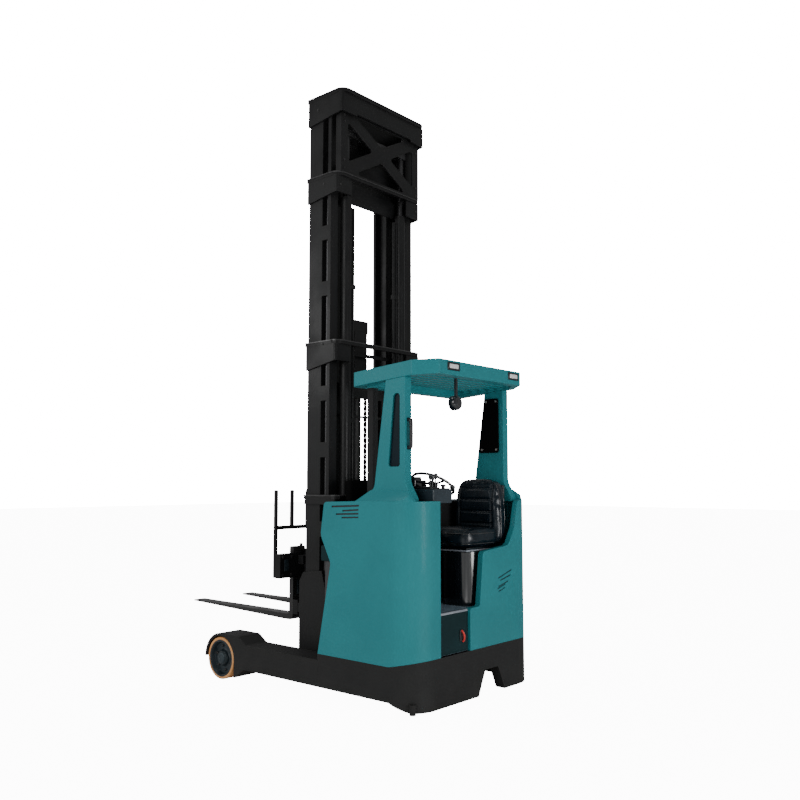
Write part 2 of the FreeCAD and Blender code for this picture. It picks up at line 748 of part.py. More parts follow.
roof_rear_half = guard_half - d.roof_rear_inset
roof_plan = [(d.roof_rear, -roof_rear_half, 30), (d.roof_corner_x, -guard_half, 30),
             (d.roof_front, -guard_half, 40), (d.roof_front, guard_half, 40),
             (d.roof_corner_x, guard_half, 30), (d.roof_rear, roof_rear_half, 30)]
roof_blank = pad("Z", roof_plan, d.roof_front_top - 120, d.roof_rear_top + 10, name="Roof_plan")
roof_profile = pad("Y", [(d.roof_rear, d.roof_rear_top - d.roof_depth), (d.roof_rear, d.roof_rear_top),
                         (d.roof_front, d.roof_front_top), (d.roof_front, d.roof_front_top - d.roof_depth)],
                   -guard_half - 10, guard_half + 10, name="Roof_profile")
rim = d.roof_rim
roof_opening = pad("Z", [(d.roof_rear + rim, -roof_rear_half + rim), (d.roof_corner_x, -guard_inner),
                         (d.roof_front - rim, -guard_inner), (d.roof_front - rim, guard_inner),
                         (d.roof_corner_x, guard_inner), (d.roof_rear + rim, roof_rear_half - rim)],
                   d.roof_front_top - 130, d.roof_rear_top + 20, name="Roof_opening")
lamps = []
lamp_seats = []
for y in (d.lamp_left_y, d.lamp_right_y):
    lamp_y = (y - d.lamp_half_width, y + d.lamp_half_width)
    lamp_z = (d.roof_rear_top - d.lamp_low, d.roof_rear_top - d.lamp_high)
    lamps.append(box((d.roof_rear, d.roof_rear + d.lamp_depth), lamp_y, lamp_z))
    lamp_seats.append(box((d.roof_rear - 1, d.roof_rear + d.lamp_depth + d.fit_gap),
                          (lamp_y[0] - d.fit_gap, lamp_y[1] + d.fit_gap), (lamp_z[0] - d.fit_gap, lamp_z[1] + d.fit_gap)))
roof_frame = cut(common(roof_blank, roof_profile), [roof_opening] + lamp_seats)
slats = []
for i in range(7):
    x = d.roof_rear + rim + 30 + i * d.slat_pitch
    slats.append(box((x, x + d.slat_width), (-guard_half + 20, guard_half - 20),
                     (slat_low, slat_low + d.slat_depth)))
slat_limit = pad("Z", roof_plan, d.roof_front_top - 120, d.roof_rear_top + 10, name="Slat_limit")
node(fuse([roof_frame, common(fuse(slats), slat_limit)], "Roof"), "roof")

# Outer mast: channels opening inwards, ladder bars behind them
outer_in = outer_y - d.rail_depth


def channel(y_web, y_open, low, high, name):
    """One upright: a channel whose web lies at y_web and whose flanges reach to y_open."""
    web = y_web + (d.rail_web if y_open.value > y_web.value else -d.rail_web)
    return pad("Z", [(d.rail_rear, y_web), (d.rail_front, y_web), (d.rail_front, y_open),
                     (d.rail_front - d.rail_flange, y_open), (d.rail_front - d.rail_flange, web),
                     (d.rail_rear + d.rail_flange, web), (d.rail_rear + d.rail_flange, y_open),
                     (d.rail_rear, y_open)], low, high, name=name)


top = d.mast_height - d.yoke_flange
head_bottom = d.mast_height - d.head_height
yoke_middle_top = d.mast_height * d.yoke_middle_share
yoke_lower_top = d.mast_height * d.yoke_lower_share
ladder_front = d.ladder_rear + d.ladder_bar
ladder_in = outer_y - d.ladder_plate
cross_x = (d.cross_plate_rear, d.cross_plate_rear + d.cross_plate_thick)
cross_top = head_bottom - d.cross_plate_drop
bar_top = yoke_middle_top - d.cross_bar_drop
ladder_y = (outer_y - d.ladder_width, outer_y)
ladder = [box((d.ladder_rear, ladder_front), ladder_y, (d.mast_bottom, top), "Ladder_bar"),
          channel(outer_y, outer_in, d.mast_bottom, top, "Outer_channel")]
batten_z = [cross_top - d.cross_plate_height / 2, bar_top - d.cross_bar_height / 2]
batten_z += [d.mast_height * share for share in (0.756, 0.66, 0.483, 0.389, 0.259, 0.148)]
for z in batten_z:
    ladder.append(box((ladder_front - 1, d.rail_rear + 2), (ladder_in, outer_y),
                      (z - d.ladder_batten / 2, z + d.ladder_batten / 2)))
outer_rail = fuse(ladder, "Outer_rail")
cross_plates = [box(cross_x, (-ladder_in - 1, ladder_in + 1), (cross_top - d.cross_plate_height, cross_top)),
                box(cross_x, (-ladder_in - 1, ladder_in + 1), (bar_top - d.cross_bar_height, bar_top))]
node(fuse([outer_rail, mirror(outer_rail, "Outer_other")] + cross_plates, "Outer_mast"), "mast_outer")

# Collars round the back and sides of the mast
collar_half = outer_y + d.yoke_plate
collar_inside = d.yoke_rear + d.yoke_plate


def yoke(z, depth_front, depth_rear, skirt_rear, bridge_depth, name):
    """A flat flange over a skirt; under bridge_depth the skirt only wraps the two rear corners."""
    wide = collar_half + 2
    bend = d.yoke_radius
    flange_rear = skirt_rear - d.yoke_lip
    flange = pad("Z", [(flange_rear, -wide, bend), (d.yoke_front, -wide), (d.yoke_front, -outer_y),
                       (collar_inside, -outer_y), (collar_inside, outer_y), (d.yoke_front, outer_y),
                       (d.yoke_front, wide), (flange_rear, wide, bend)],
                 z - d.yoke_flange, z, name=name)
    front = d.yoke_front - 6
    back_in = skirt_rear + d.yoke_plate
    skirt = pad("Z", [(skirt_rear, -collar_half, 20), (front, -collar_half), (front, -outer_y), (back_in, -outer_y, 7),
                      (back_in, outer_y, 7), (front, outer_y), (front, collar_half), (skirt_rear, collar_half, 20)],
                z - depth_front, z - d.yoke_flange + 1, name=name)
    trim = pad("Y", [(front + 1, z - depth_front), (skirt_rear, z - depth_rear), (skirt_rear - 20, z - depth_rear),
                     (skirt_rear - 20, z - depth_front - 20), (front + 1, z - depth_front - 20)],
               -collar_half - 20, collar_half + 20, name=name)
    window = collar_half - d.yoke_wrap
    between = box((skirt_rear - 20, back_in + 20), (-window, window), (z - depth_front - 20, z - bridge_depth))
    return fuse([flange, cut(skirt, [trim, between])], name)


yokes = []
for name, z, front, rear, skirt_rear, bridge_depth in (
        ("Yoke_top", d.mast_height, 202, 162, d.head_rear, 148),
        ("Yoke_upper", head_bottom, 180, 141, d.yoke_rear, d.yoke_flange),
        ("Yoke_middle", yoke_middle_top, 190, 138, d.yoke_rear, d.yoke_flange),
        ("Yoke_lower", yoke_lower_top, 62, 61, d.yoke_rear, d.yoke_flange)):
    yokes.append(yoke(z, front, rear, skirt_rear, bridge_depth, name))
node(fuse(yokes, "Yokes"), "mast_yokes")

# Braced frame at the head of the mast: side plates and a back plate with four windows round a cross
brace_low = head_bottom + d.fit_gap
brace_high = top - d.fit_gap
brace_y = outer_y - d.yoke_plate
brace_x = (d.brace_rear, d.brace_rear + d.yoke_plate)
brace = pad("X", [(-brace_y, brace_low), (brace_y, brace_low), (brace_y, brace_high), (-brace_y, brace_high)],
            brace_x[0], brace_x[1], name="Brace")
mid_z = d.mast_height - d.brace_middle
win_y = brace_y - d.brace_frame
side_low = mid_z - d.brace_window
side_high = mid_z + d.brace_window
wide_y = d.brace_wide_half
wide_low = mid_z - d.brace_wide_bottom
wide_high = mid_z + d.brace_wide_top
for corners in ([(-win_y, side_low, 16), (-d.brace_window_tip, mid_z, 16), (-win_y, side_high, 16)],
                [(win_y, side_low, 16), (win_y, side_high, 16), (d.brace_window_tip, mid_z, 16)],
                [(-wide_y, wide_low, 14), (wide_y, wide_low, 14), (0, mid_z - d.brace_wide_tip, 20)],
                [(-wide_y, wide_high, 14), (0, mid_z + d.brace_wide_tip, 20), (wide_y, wide_high, 14)]):
    pocket(brace, "X", corners, brace_x[0] - 5, brace_x[1] + 5)
head_plates = [box((d.brace_rear, d.brace_rear + d.brace_side), (low, high), (brace_low, brace_high))
               for low, high in ((brace_y - d.yoke_plate, brace_y), (-brace_y, -brace_y + d.yoke_plate))]
node(fuse([brace] + head_plates, "Head_brace"), "mast_head_brace")

# Lift cylinders: barrels on the outer mast, rods on the middle mast
barrels = []
rods = []
lift_cylinder_y = outer_y - d.lift_cylinder_inset
lift_barrel_top = d.mast_height - d.lift_barrel_drop
lift_rod_top = d.mast_height - d.lift_rod_drop
pipe_y = lift_cylinder_y - d.feed_pipe_offset
for side in (1, -1):
    place_xy = (d.lift_cylinder_x, lift_cylinder_y * side)
    barrels.append(ring("Z", d.lift_barrel_radius, d.lift_rod_radius + d.fit_gap, place_xy, d.lift_barrel_bottom,
                        lift_barrel_top))
    rods.append(rod("Z", d.lift_rod_radius, place_xy, d.lift_barrel_bottom + 40, lift_rod_top + 1))
    for step in (0, 1):
        at_y = (pipe_y + step * (d.feed_pipe_radius * 2 + 3)) * side
        barrels.append(rod("Z", d.feed_pipe_radius, (d.lift_cylinder_x, at_y), d.lift_barrel_bottom - 20,
                           lift_barrel_top - 60))
    clamp = (pipe_y - 14, lift_cylinder_y - d.lift_rod_radius - 4) if side == 1 else \
            (-lift_cylinder_y + d.lift_rod_radius + 4, -pipe_y + 14)
    for share in (0.2, 0.5, 0.8):
        z = d.lift_barrel_bottom + (lift_barrel_top - d.lift_barrel_bottom) * share
        barrels.append(box((d.lift_cylinder_x - 14, d.lift_cylinder_x + 14), clamp, (z - 15, z + 15)))
foot_y = outer_y - d.ladder_width - d.fit_gap
foot = box((d.lift_cylinder_x - d.lift_barrel_radius, d.rail_rear - 30), (-foot_y, foot_y),
           (d.lift_barrel_bottom - 30, d.lift_barrel_bottom))
node(fuse(barrels + [foot], "Barrels"), "lift_cylinders")
middle_bar_rear = d.rail_rear - 26
head = box((d.lift_cylinder_x - 36, middle_bar_rear - d.fit_gap), (-lift_cylinder_y - 20, lift_cylinder_y + 20),
           (lift_rod_top, lift_rod_top + 40))
node(fuse(rods + [head], "Rods"), "lift_rods")

# Middle and inner mast: channels with crossbars at their heads and feet
roller_x = (d.rail_rear + d.rail_front) / 2
roller_radius = (d.rail_front - d.rail_rear) / 2 - d.rail_flange - d.fit_gap
middle_low = d.mast_bottom + 20
middle_high = top - d.stage_top_step
inner_low = d.mast_bottom + 40
inner_high = middle_high - d.stage_top_step


def stage(outer, depth, low, high, reach, name):
    """Two uprights facing each other, their crossbars and the rollers that run in the stage outside."""
    pieces = []
    for side in (1, -1):
        pieces.append(channel(outer * side, (outer - depth) * side, low, high, name))
        y = (outer - 1, outer + reach) if side == 1 else (-outer - reach, -outer + 1)
        for z in (low + 90, low + 640):
            pieces.append(rod("Y", roller_radius, (roller_x, z), y[0], y[1]))
    return pieces


middle_outer = outer_y - d.middle_step
inner_outer = outer_y - d.inner_step
middle = stage(middle_outer, d.middle_depth, middle_low, middle_high, 54, "Middle_channel")
middle_bar = (middle_bar_rear, d.rail_rear - d.fit_gap)
middle_out = middle_outer - 1
for z in (middle_low + 130, middle_high - 260):
    bar_z = (z, z + d.cross_height)
    middle.append(box(middle_bar, (-middle_out, middle_out), bar_z))
    for y in ((inner_outer + 3, middle_out), (-middle_out, -inner_outer - 3)):
        middle.append(box((middle_bar_rear, d.rail_rear + 2), y, bar_z))
node(fuse(middle, "Middle_mast"), "mast_middle")

inner = stage(inner_outer, d.inner_depth, inner_low, inner_high, 40, "Inner_channel")
inner_open = inner_outer - d.inner_depth + 1
inner_foot = (d.rail_rear + 1, d.rail_rear + d.rail_flange - 1)
inner.append(box(inner_foot, (-inner_open, inner_open), (inner_low + 10, inner_low + 10 + d.cross_height)))
inner.append(box((d.rail_front - 20, d.rail_front - 4), (-inner_outer + 1, inner_outer - 1),
                 (inner_high - 120, inner_high - 10)))
node(fuse(inner, "Inner_mast"), "mast_inner")

free_at = (d.free_cylinder_x, d.free_cylinder_y)
free_barrel_top = d.mast_height - d.free_barrel_drop
free_rod_top = free_barrel_top + d.free_rod_rise
free_foot = box((inner_foot[1] + d.fit_gap, d.free_cylinder_x + d.free_barrel_radius - 6),
                (d.free_cylinder_y - d.free_foot_half, d.free_cylinder_y + d.free_foot_half),
                (d.free_barrel_bottom - d.free_foot_half, d.free_barrel_bottom + 1))
free_barrel = ring("Z", d.free_barrel_radius, d.free_rod_radius + d.fit_gap, free_at, d.free_barrel_bottom,
                   free_barrel_top)
node(fuse([free_barrel, free_foot], "Free_cylinder"), "free_lift_cylinder")
free_head = box((d.free_cylinder_x - d.free_head_depth, d.free_cylinder_x + d.free_head_depth),
                (d.free_cylinder_y - d.free_head_right, d.free_cylinder_y + d.free_head_left),
                (free_rod_top, free_rod_top + d.free_head_height))
node(fuse([rod("Z", d.free_rod_radius, free_at, d.free_barrel_bottom + 180, free_rod_top + 1), free_head], "Free_rod"),
     "free_lift_rod")

# Reach carriage between the legs
reach_in = outer_y + d.fit_gap
reach_out = leg_inner - d.running_gap
post_front = reach_front - d.reach_post_inset
reach_side = pad("Y", [(reach_rear, d.reach_bottom), (reach_front, d.reach_bottom),
                       (reach_front, d.reach_bottom + d.reach_toe_height), (post_front, d.reach_waist_z),
                       (post_front, d.reach_post_top), (post_front - 35, d.reach_lug_top),
                       (reach_rear + 70, d.reach_lug_top + 20), (reach_rear, d.reach_heel_z)],
                 reach_in, reach_out, name="Reach_side")
reach_pieces = [reach_side, mirror(reach_side, "Reach_other"),
                box((reach_rear, reach_rear + d.reach_bar), (-reach_out, reach_out),
                    (d.reach_bottom, d.mast_bottom - d.fit_gap)),
                box((reach_front - d.reach_bar - 10, reach_front), (-reach_out, reach_out),
                    (d.reach_bottom - 20, d.reach_bottom)),
                box((reach_rear, reach_rear + d.reach_bar), (reach_at[0] - 30, reach_at[0] + 30),
                    (d.reach_bottom, d.reach_cylinder_z + 35))]
for x in (reach_rear + 70, reach_front - 60):
    for low, high in ((reach_out - 1, leg_inner + d.reach_groove_depth - 6),
                      (-leg_inner - d.reach_groove_depth + 6, -reach_out + 1)):
        reach_pieces.append(rod("Y", d.reach_roller_radius, (x, d.reach_roller_z), low, high))
node(fuse(reach_pieces, "Reach_carriage"), "reach_carriage")
node(ring("X", d.reach_barrel_radius, d.reach_rod_radius + d.fit_gap, reach_at, d.reach_barrel_rear,
          d.tub_front + 30), "reach_cylinder")
node(rod("X", d.reach_rod_radius, reach_at, d.reach_rod_rear, reach_rear - d.fit_gap), "reach_rod")

# Lift bracket in the inner mast: side cheeks between the inner rails, two plates and the tilt pin
cheek_in = inner_outer - d.inner_depth - d.running_gap
bracket = []
for side in (1, -1):
    y = (cheek_in - 30, cheek_in) if side == 1 else (-cheek_in, -cheek_in + 30)
    bracket.append(box((roller_x, d.lift_plate_front), y, (d.carriage_bottom, d.carriage_top)))
    y = (cheek_in - 1, cheek_in + 46) if side == 1 else (-cheek_in - 46, -cheek_in + 1)
    for z in (d.carriage_bottom + 50, d.carriage_top - 50):
        bracket.append(rod("Y", roller_radius, (roller_x, z), y[0], y[1]))
for z in (d.carriage_bottom + 60, d.carriage_top - 140):
    bracket.append(box((d.lift_plate_rear, d.lift_plate_front), (-cheek_in, cheek_in), (z, z + 100)))
lug_out = cheek_in - d.tilt_lug_inset
lug_in = lug_out - d.tilt_lug_thick
for low, high in ((-lug_out, -lug_in), (lug_in, lug_out)):
    bracket.append(box((d.lift_plate_front - 1, d.tilt_pin_x + 22), (low, high),
                       (d.tilt_pin_z - 24, d.tilt_pin_z + 24)))
bracket.append(rod("Y", 15, (d.tilt_pin_x, d.tilt_pin_z), -lug_out, lug_out))
node(fuse(bracket, "Lift_bracket"), "lift_bracket")

# Tilting frame on the pin, with the two rails that the side-shift carriage runs on
tilt_front = d.shift_face - d.fit_gap
tilt_half = lug_in - d.running_gap
tilt = [ring("Y", d.tilt_tube_radius, 15.05, (d.tilt_pin_x, d.tilt_pin_z), -tilt_half, tilt_half),
        cut(box((d.tilt_pin_x + 8, d.tilt_pin_x + 40), (-tilt_half, tilt_half),
                (d.carriage_bottom, d.fork_upper_bar_top - 10)),
            [rod("Y", 20, (d.tilt_pin_x, d.tilt_pin_z), -lug_out, lug_out)])]
for z in (d.carriage_bottom, d.fork_upper_bar_top - 70):
    tilt.append(box((d.tilt_pin_x + 39, tilt_front), (-d.tilt_rail_half_width, d.tilt_rail_half_width),
                    (z, z + d.tilt_rail_height)))
node(fuse(tilt, "Tilt_frame"), "tilt_frame")

# Side-shift carriage: two fork bars joined by uprights, hooked over the upper rail
fork_bar_x = (d.fork_bar_rear, d.fork_bar_front)
shift = [box(fork_bar_x, (-d.fork_frame_half_width, d.fork_frame_half_width), (d.fork_upper_bar, d.fork_upper_bar_top)),
         box(fork_bar_x, (-290, 290), (d.fork_lower_bar, d.fork_lower_bar_top))]
for low, high in ((-230, -170), (170, 230)):
    shift.append(box((d.shift_face, d.fork_bar_rear + 1), (low, high), (d.fork_lower_bar, d.fork_upper_bar_top)))
    shift.append(box((d.shift_face - 34, d.fork_bar_rear + 1), (low, high),
                     (d.fork_upper_bar_top - 9.7, d.fork_upper_bar_top + 24)))
node(fuse(shift, "Shift_carriage"), "shift_carriage")

# Forks: heel, tapered blade and the two hooks that hold the bars
fork_low = d.fork_spacing / 2 - d.fork_width / 2
fork_high = fork_low + d.fork_width
shank_rear = d.fork_shank_front - d.fork_thick
blade_top = d.fork_bottom + d.fork_thick
fork = pad("Y", [(shank_rear, d.fork_bottom, 36), (d.fork_shank_front + 60, d.fork_bottom),
                 (d.fork_tip, blade_top - d.fork_tip_thick), (d.fork_tip, blade_top), (d.fork_shank_front, blade_top, 18),
                 (d.fork_shank_front, d.fork_hook_top), (d.fork_bar_rear + 8, d.fork_hook_top),
                 (d.fork_bar_rear + 8, d.fork_upper_bar_top + d.fit_gap), (shank_rear, d.fork_upper_bar_top + d.fit_gap)],
           fork_low, fork_high, name="Fork")
both_sides(fork, "fork")

# Load backrest: outer posts down to the upper bar, inner posts on a cross rail
bar_x = (d.fork_bar_front - d.backrest_bar + 26.3, d.fork_bar_front + 26.3)
guard_bars = [box(bar_x, (-3 * d.backrest_pitch - d.backrest_bar / 2, 3 * d.backrest_pitch + d.backrest_bar / 2),
                  (d.backrest_rail, d.backrest_rail + d.backrest_bar))]
for i in range(-3, 4):
    y = i * d.backrest_pitch
    low = d.fork_upper_bar if abs(i) == 3 else d.backrest_rail
    guard_bars.append(box(bar_x, (y - d.backrest_bar / 2, y + d.backrest_bar / 2), (low, d.backrest_top)))
node(fuse(guard_bars, "Load_backrest"), "load_backrest")

# Seat: cushion, back, pan and pedestal; the driver faces the left side of the truck
seat_left = d.seat_x + d.seat_width / 2
seat_right = d.seat_x - d.seat_width / 2
pan_low = d.cushion_bottom - 26
back_front = seat_rear + d.backrest_seat_thick
cushion_rear = back_front + 5
cushion = pad("Z", [(seat_right, cushion_rear, 50), (seat_left, cushion_rear, 50), (seat_left, d.seat_front, 90),
                    (seat_right, d.seat_front, 90)], d.cushion_bottom, d.cushion_top, name="Cushion")
node(cushion, "seat_cushion")
seat_back = pad("X", [(seat_rear, d.cushion_bottom, 30), (back_front, d.cushion_bottom),
                      (back_front - 22, d.backrest_seat_top, 40), (seat_rear - 12, d.backrest_seat_top, 40)],
                seat_right + 10, seat_left - 10, name="Seat_back")
node(seat_back, "seat_back")
seat_pan = box((seat_right + 30, seat_left - 30), (seat_rear + 5, d.seat_front - 30),
               (pan_low, d.cushion_bottom - d.fit_gap))
ped_x = (d.seat_x - d.pedestal_width / 2, d.seat_x + d.pedestal_width / 2 - 145)
pedestal = pad("Z", [(ped_x[0], seat_rear, 40), (ped_x[1], seat_rear, 40), (ped_x[1], d.pedestal_front, 90),
                     (ped_x[0], d.pedestal_front, 110)], d.floor_top + d.fit_gap, pan_low + 1, name="Pedestal")
node(fuse([pedestal, seat_pan], "Seat_base"), "seat_pedestal")

# Steering console on its column, and the small steering wheel
console = [box((d.console_rear, d.console_front), (d.console_right, d.console_left), (d.console_bottom, d.console_top)),
           box((d.column_rear, d.column_front), (d.column_right, d.console_left),
               (d.floor_top + d.fit_gap, d.console_bottom + 8))]
node(fuse(console, "Console"), "control_console")
steering = doc.addObject("Part::Torus", "Steering_rim")
bind(steering, "Radius1", d.steer_wheel_radius)
bind(steering, "Radius2", d.steer_rim_radius)
tilted = FreeCAD.Rotation(FreeCAD.Vector(1, 0, 0), d.steer_wheel_tilt.value)
steering.Placement = FreeCAD.Placement(FreeCAD.Vector(), tilted)
place(steering, d.steer_wheel_x, d.steer_wheel_y, d.steer_wheel_z)
spokes = [box((d.steer_wheel_x - 8, d.steer_wheel_x + 8), (d.steer_wheel_y - 8, d.steer_wheel_y + 8),
              (d.console_top + d.fit_gap, d.steer_wheel_z + 6)),
          box((d.steer_wheel_x - d.steer_wheel_radius, d.steer_wheel_x + d.steer_wheel_radius),
              (d.steer_wheel_y - 12, d.steer_wheel_y + 12), (d.steer_wheel_z - 5, d.steer_wheel_z + 5))]
node(fuse([steering] + spokes, "Steering_wheel"), "steering_wheel")

# Lamps and pillar covers
node(fuse(lamps, "Rear_lamps"), "rear_lamps")
work = [rod("X", d.work_lamp_radius, (d.work_lamp_y, d.work_lamp_z), d.work_lamp_rear, d.work_lamp_front),
        box((d.work_lamp_rear + 2, d.work_lamp_rear + 16), (d.work_lamp_y - 10, d.work_lamp_y + 10),
            (d.work_lamp_z + d.work_lamp_radius * 0.7, roof_under(size(2)) - d.fit_gap))]
node(fuse(work, "Work_lamp"), "work_lamp")
cover_rear = d.pillar_rear + d.pillar_cover_inset
cover_low = d.pillar_foot_front - d.pillar_cover_inset - 10
cover_high = d.pillar_top_front - 4
cover = pad("Y", [(cover_rear, d.pillar_cover_bottom, 14), (cover_low - 3, d.pillar_cover_bottom, 14),
                  (cover_high, d.pillar_cover_top, 14), (cover_rear, d.pillar_cover_top, 14)],
            guard_inner - d.pillar_cover_thick - d.fit_gap, guard_inner - d.fit_gap, name="Pillar_cover")
node(fuse([cover, mirror(cover, "Cover_other")], "Pillar_covers"), "pillar_covers")
doc.recompute()

for item in doc.Objects:
    if "Invalid" in item.State or "Error" in item.State:
        raise RuntimeError(f"{item.Name} {item.Label} did not build: {item.State}")
for label, item in nodes.items():
    if item.Shape.isNull() or not item.Shape.isValid():
        raise RuntimeError(f"{label} has no valid shape")
    item.Shape.exportStep(f"parts/{label}.step")
    print(label, len(item.Shape.Solids), round(item.Shape.Volume / 1e6, 2))
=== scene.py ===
# %% [markdown]
# # A reach truck in Blender
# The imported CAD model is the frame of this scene. Every piece below is placed in that frame, in metres,
# with X along the forks, Y to the truck's left and Z up. The truck's drawing counts X from the rear face of
# the chassis, so a small helper turns such a place in millimetres into a point of the scene.

# %% Load the frame
import math
import json

import bmesh
import bpy
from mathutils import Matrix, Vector
from mathutils.bvhtree import BVHTree


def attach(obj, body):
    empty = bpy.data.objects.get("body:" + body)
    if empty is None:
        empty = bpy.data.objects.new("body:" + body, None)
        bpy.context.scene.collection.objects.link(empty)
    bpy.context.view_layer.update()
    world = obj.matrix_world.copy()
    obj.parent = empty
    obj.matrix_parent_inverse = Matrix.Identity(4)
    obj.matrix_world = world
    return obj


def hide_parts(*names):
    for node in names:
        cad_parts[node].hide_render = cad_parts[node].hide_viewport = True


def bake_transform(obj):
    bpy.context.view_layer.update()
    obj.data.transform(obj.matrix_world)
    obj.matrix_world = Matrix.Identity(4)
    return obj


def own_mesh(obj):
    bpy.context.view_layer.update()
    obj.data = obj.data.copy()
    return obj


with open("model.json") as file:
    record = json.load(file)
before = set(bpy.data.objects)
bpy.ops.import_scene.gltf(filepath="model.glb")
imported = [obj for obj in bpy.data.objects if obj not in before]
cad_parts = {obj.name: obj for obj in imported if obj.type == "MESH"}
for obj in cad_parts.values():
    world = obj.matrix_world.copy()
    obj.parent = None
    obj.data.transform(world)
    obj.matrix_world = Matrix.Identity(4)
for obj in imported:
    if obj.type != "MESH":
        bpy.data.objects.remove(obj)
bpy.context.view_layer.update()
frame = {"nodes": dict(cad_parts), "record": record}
REAR_FACE = -1.258
bodies = {node: body for body, names in frame["record"]["behaviour"]["bodies"].items() for node in names}
finishes = {entry["node"]: entry["material_slot"] for entry in frame["record"]["subparts"]}
SIDES = ((1, "left"), (-1, "right"))


def at(x, y, z):
    """A place given in the drawing's millimetres as a point of the scene."""
    return Vector((x / 1000 + REAR_FACE, y / 1000, z / 1000))


# %% [markdown]
# ## Camera
# The photograph was taken from behind and to the left, at about head height, with a little tilt upwards.
# The camera's place and lens were worked out from the straight edges of the chassis, the roof and the mast.

# %% Camera
camera_data = bpy.data.cameras.new("Camera")
camera_data.sensor_width = 36.0
camera_data.lens = 37.8
camera = bpy.data.objects.new("Camera", camera_data)
bpy.context.scene.collection.objects.link(camera)
camera.location = (-4.3685, 4.3274, 1.3585)
YAW, PITCH = math.radians(-49.0), math.radians(5.59)
looking = Vector((math.cos(PITCH) * math.cos(YAW), math.cos(PITCH) * math.sin(YAW), math.sin(PITCH)))
camera.rotation_euler = looking.to_track_quat("-Z", "Y").to_euler()
bpy.context.scene.camera = camera

# %% [markdown]
# ## Shader node helpers
# Every node tree in this script is put together with the same few calls.

# %% Shader node helpers
def shader_node(tree, kind, values=None, operation=None):
    """A new node in a tree, with values for some of its inputs."""
    node = tree.nodes.new("ShaderNode" + kind)
    if operation:
        node.operation = operation
    for label, value in (values or {}).items():
        node.inputs[label].default_value = value
    return node


def wire(tree, *wires):
    """Links in a tree, each given as the source node, its output, the target node and its input."""
    for source, output, target, entry in wires:
        tree.links.new(source.outputs[output], target.inputs[entry])


def node_group(name, inputs, outputs):
    """An empty shader group with float inputs and named outputs; returns the group and its two end nodes."""
    group = bpy.data.node_groups.new(name, "ShaderNodeTree")
    for label, value in inputs.items():
        socket = group.interface.new_socket(label, in_out="INPUT", socket_type="NodeSocketFloat")
        socket.default_value = value
    for label in outputs:
        group.interface.new_socket(label, in_out="OUTPUT", socket_type="NodeSocketFloat")
    return group, group.nodes.new("NodeGroupInput"), group.nodes.new("NodeGroupOutput")


def group_node(tree, group, values):
    """A node group used in a tree, with values for some of its inputs."""
    node = tree.nodes.new("ShaderNodeGroup")
    node.node_tree = group
    for label, value in values.items():
        node.inputs[label].default_value = value
    return node


def camera_glow(tree, target, entry, lit, seen):
    """A strength with one value for the light on the truck and another for what the camera sees."""
    ray = shader_node(tree, "LightPath")
    strength = shader_node(tree, "MapRange", {"To Min": lit, "To Max": seen})
    wire(tree, (ray, "Is Camera Ray", strength, "Value"), (strength, "Result", target, entry))


# %% [markdown]
# ## Light and floor
# A studio shot of a machine uses large soft lamps and a white room. The key lamp and the side lamp stand on
# the camera's side, one lamp lights the rear, a weak one lifts the shadows from low down, and one from
# above draws the highlights along the top edges. Room and floor are brighter to the camera than to the
# truck, so they come out white.

# %% Light and floor
WHITE = (1.0, 1.0, 1.0, 1.0)
world = bpy.data.worlds.new("White_room")
bpy.context.scene.world = world
world.use_nodes = True
background = world.node_tree.nodes["Background"]
background.inputs["Color"].default_value = WHITE
camera_glow(world.node_tree, background, "Strength", lit=0.34, seen=22.0)


def soft_lamp(name, place, target, size, power):
    """A square area lamp aimed at a point."""
    data = bpy.data.lights.new(name, "AREA")
    data.size = size
    data.energy = power
    lamp = bpy.data.objects.new(name, data)
    lamp.location = place
    lamp.rotation_euler = (Vector(target) - Vector(place)).to_track_quat("-Z", "Y").to_euler()
    bpy.context.scene.collection.objects.link(lamp)


soft_lamp("Key_lamp", (-1.5, 7.0, 3.6), (0.0, 0.0, 1.4), 3.5, 150)
soft_lamp("Side_lamp", (5.0, 6.0, 3.8), (-0.1, 0.4, 2.8), 3.0, 85)
soft_lamp("Rear_lamp", (-6.5, 0.2, 1.1), (-1.0, 0.0, 0.8), 1.6, 105)
soft_lamp("Low_lamp", (-3.4, 2.6, 0.25), (-1.0, 0.1, 2.0), 1.2, 7)
soft_lamp("Top_lamp", (1.0, 1.0, 7.5), (0.0, 0.0, 1.5), 3.0, 70)

FLOOR_REACH = 40
floor_mesh = bpy.data.meshes.new("Floor")
floor_corners = [(x * FLOOR_REACH, y * FLOOR_REACH, 0) for x, y in ((-1, -1), (1, -1), (1, 1), (-1, 1))]
floor_mesh.from_pydata(floor_corners, [], [(0, 1, 2, 3)])
floor = bpy.data.objects.new("Floor", floor_mesh)
bpy.context.scene.collection.objects.link(floor)

# %% [markdown]
# ## Effects that several finishes share
# Paint on a machine is never one flat tone: edges are rubbed brighter, broad areas drift a little in tone,
# and the surface has a fine grain. Each effect is one node group with its own inputs, so every finish can
# use it with its own values.

# %% Broad drift of tone
drift, drift_in, drift_out = node_group("Tone drift", {"Scale": 3.0, "Low": 0.4, "High": 0.6}, ["Mask"])
place = shader_node(drift, "TexCoord")
noise = shader_node(drift, "TexNoise", {"Detail": 5.0})
spread = shader_node(drift, "MapRange")
wire(drift, (place, "Object", noise, "Vector"), (drift_in, "Scale", noise, "Scale"),
     (noise, "Fac", spread, "Value"), (drift_in, "Low", spread, "From Min"),
     (drift_in, "High", spread, "From Max"), (spread, "Result", drift_out, "Mask"))

# %% [markdown]
# Edge wear compares the true normal with a rounded one. Where they differ, the surface is near an edge, and
# a noise breaks the line up so that it looks rubbed and not drawn.

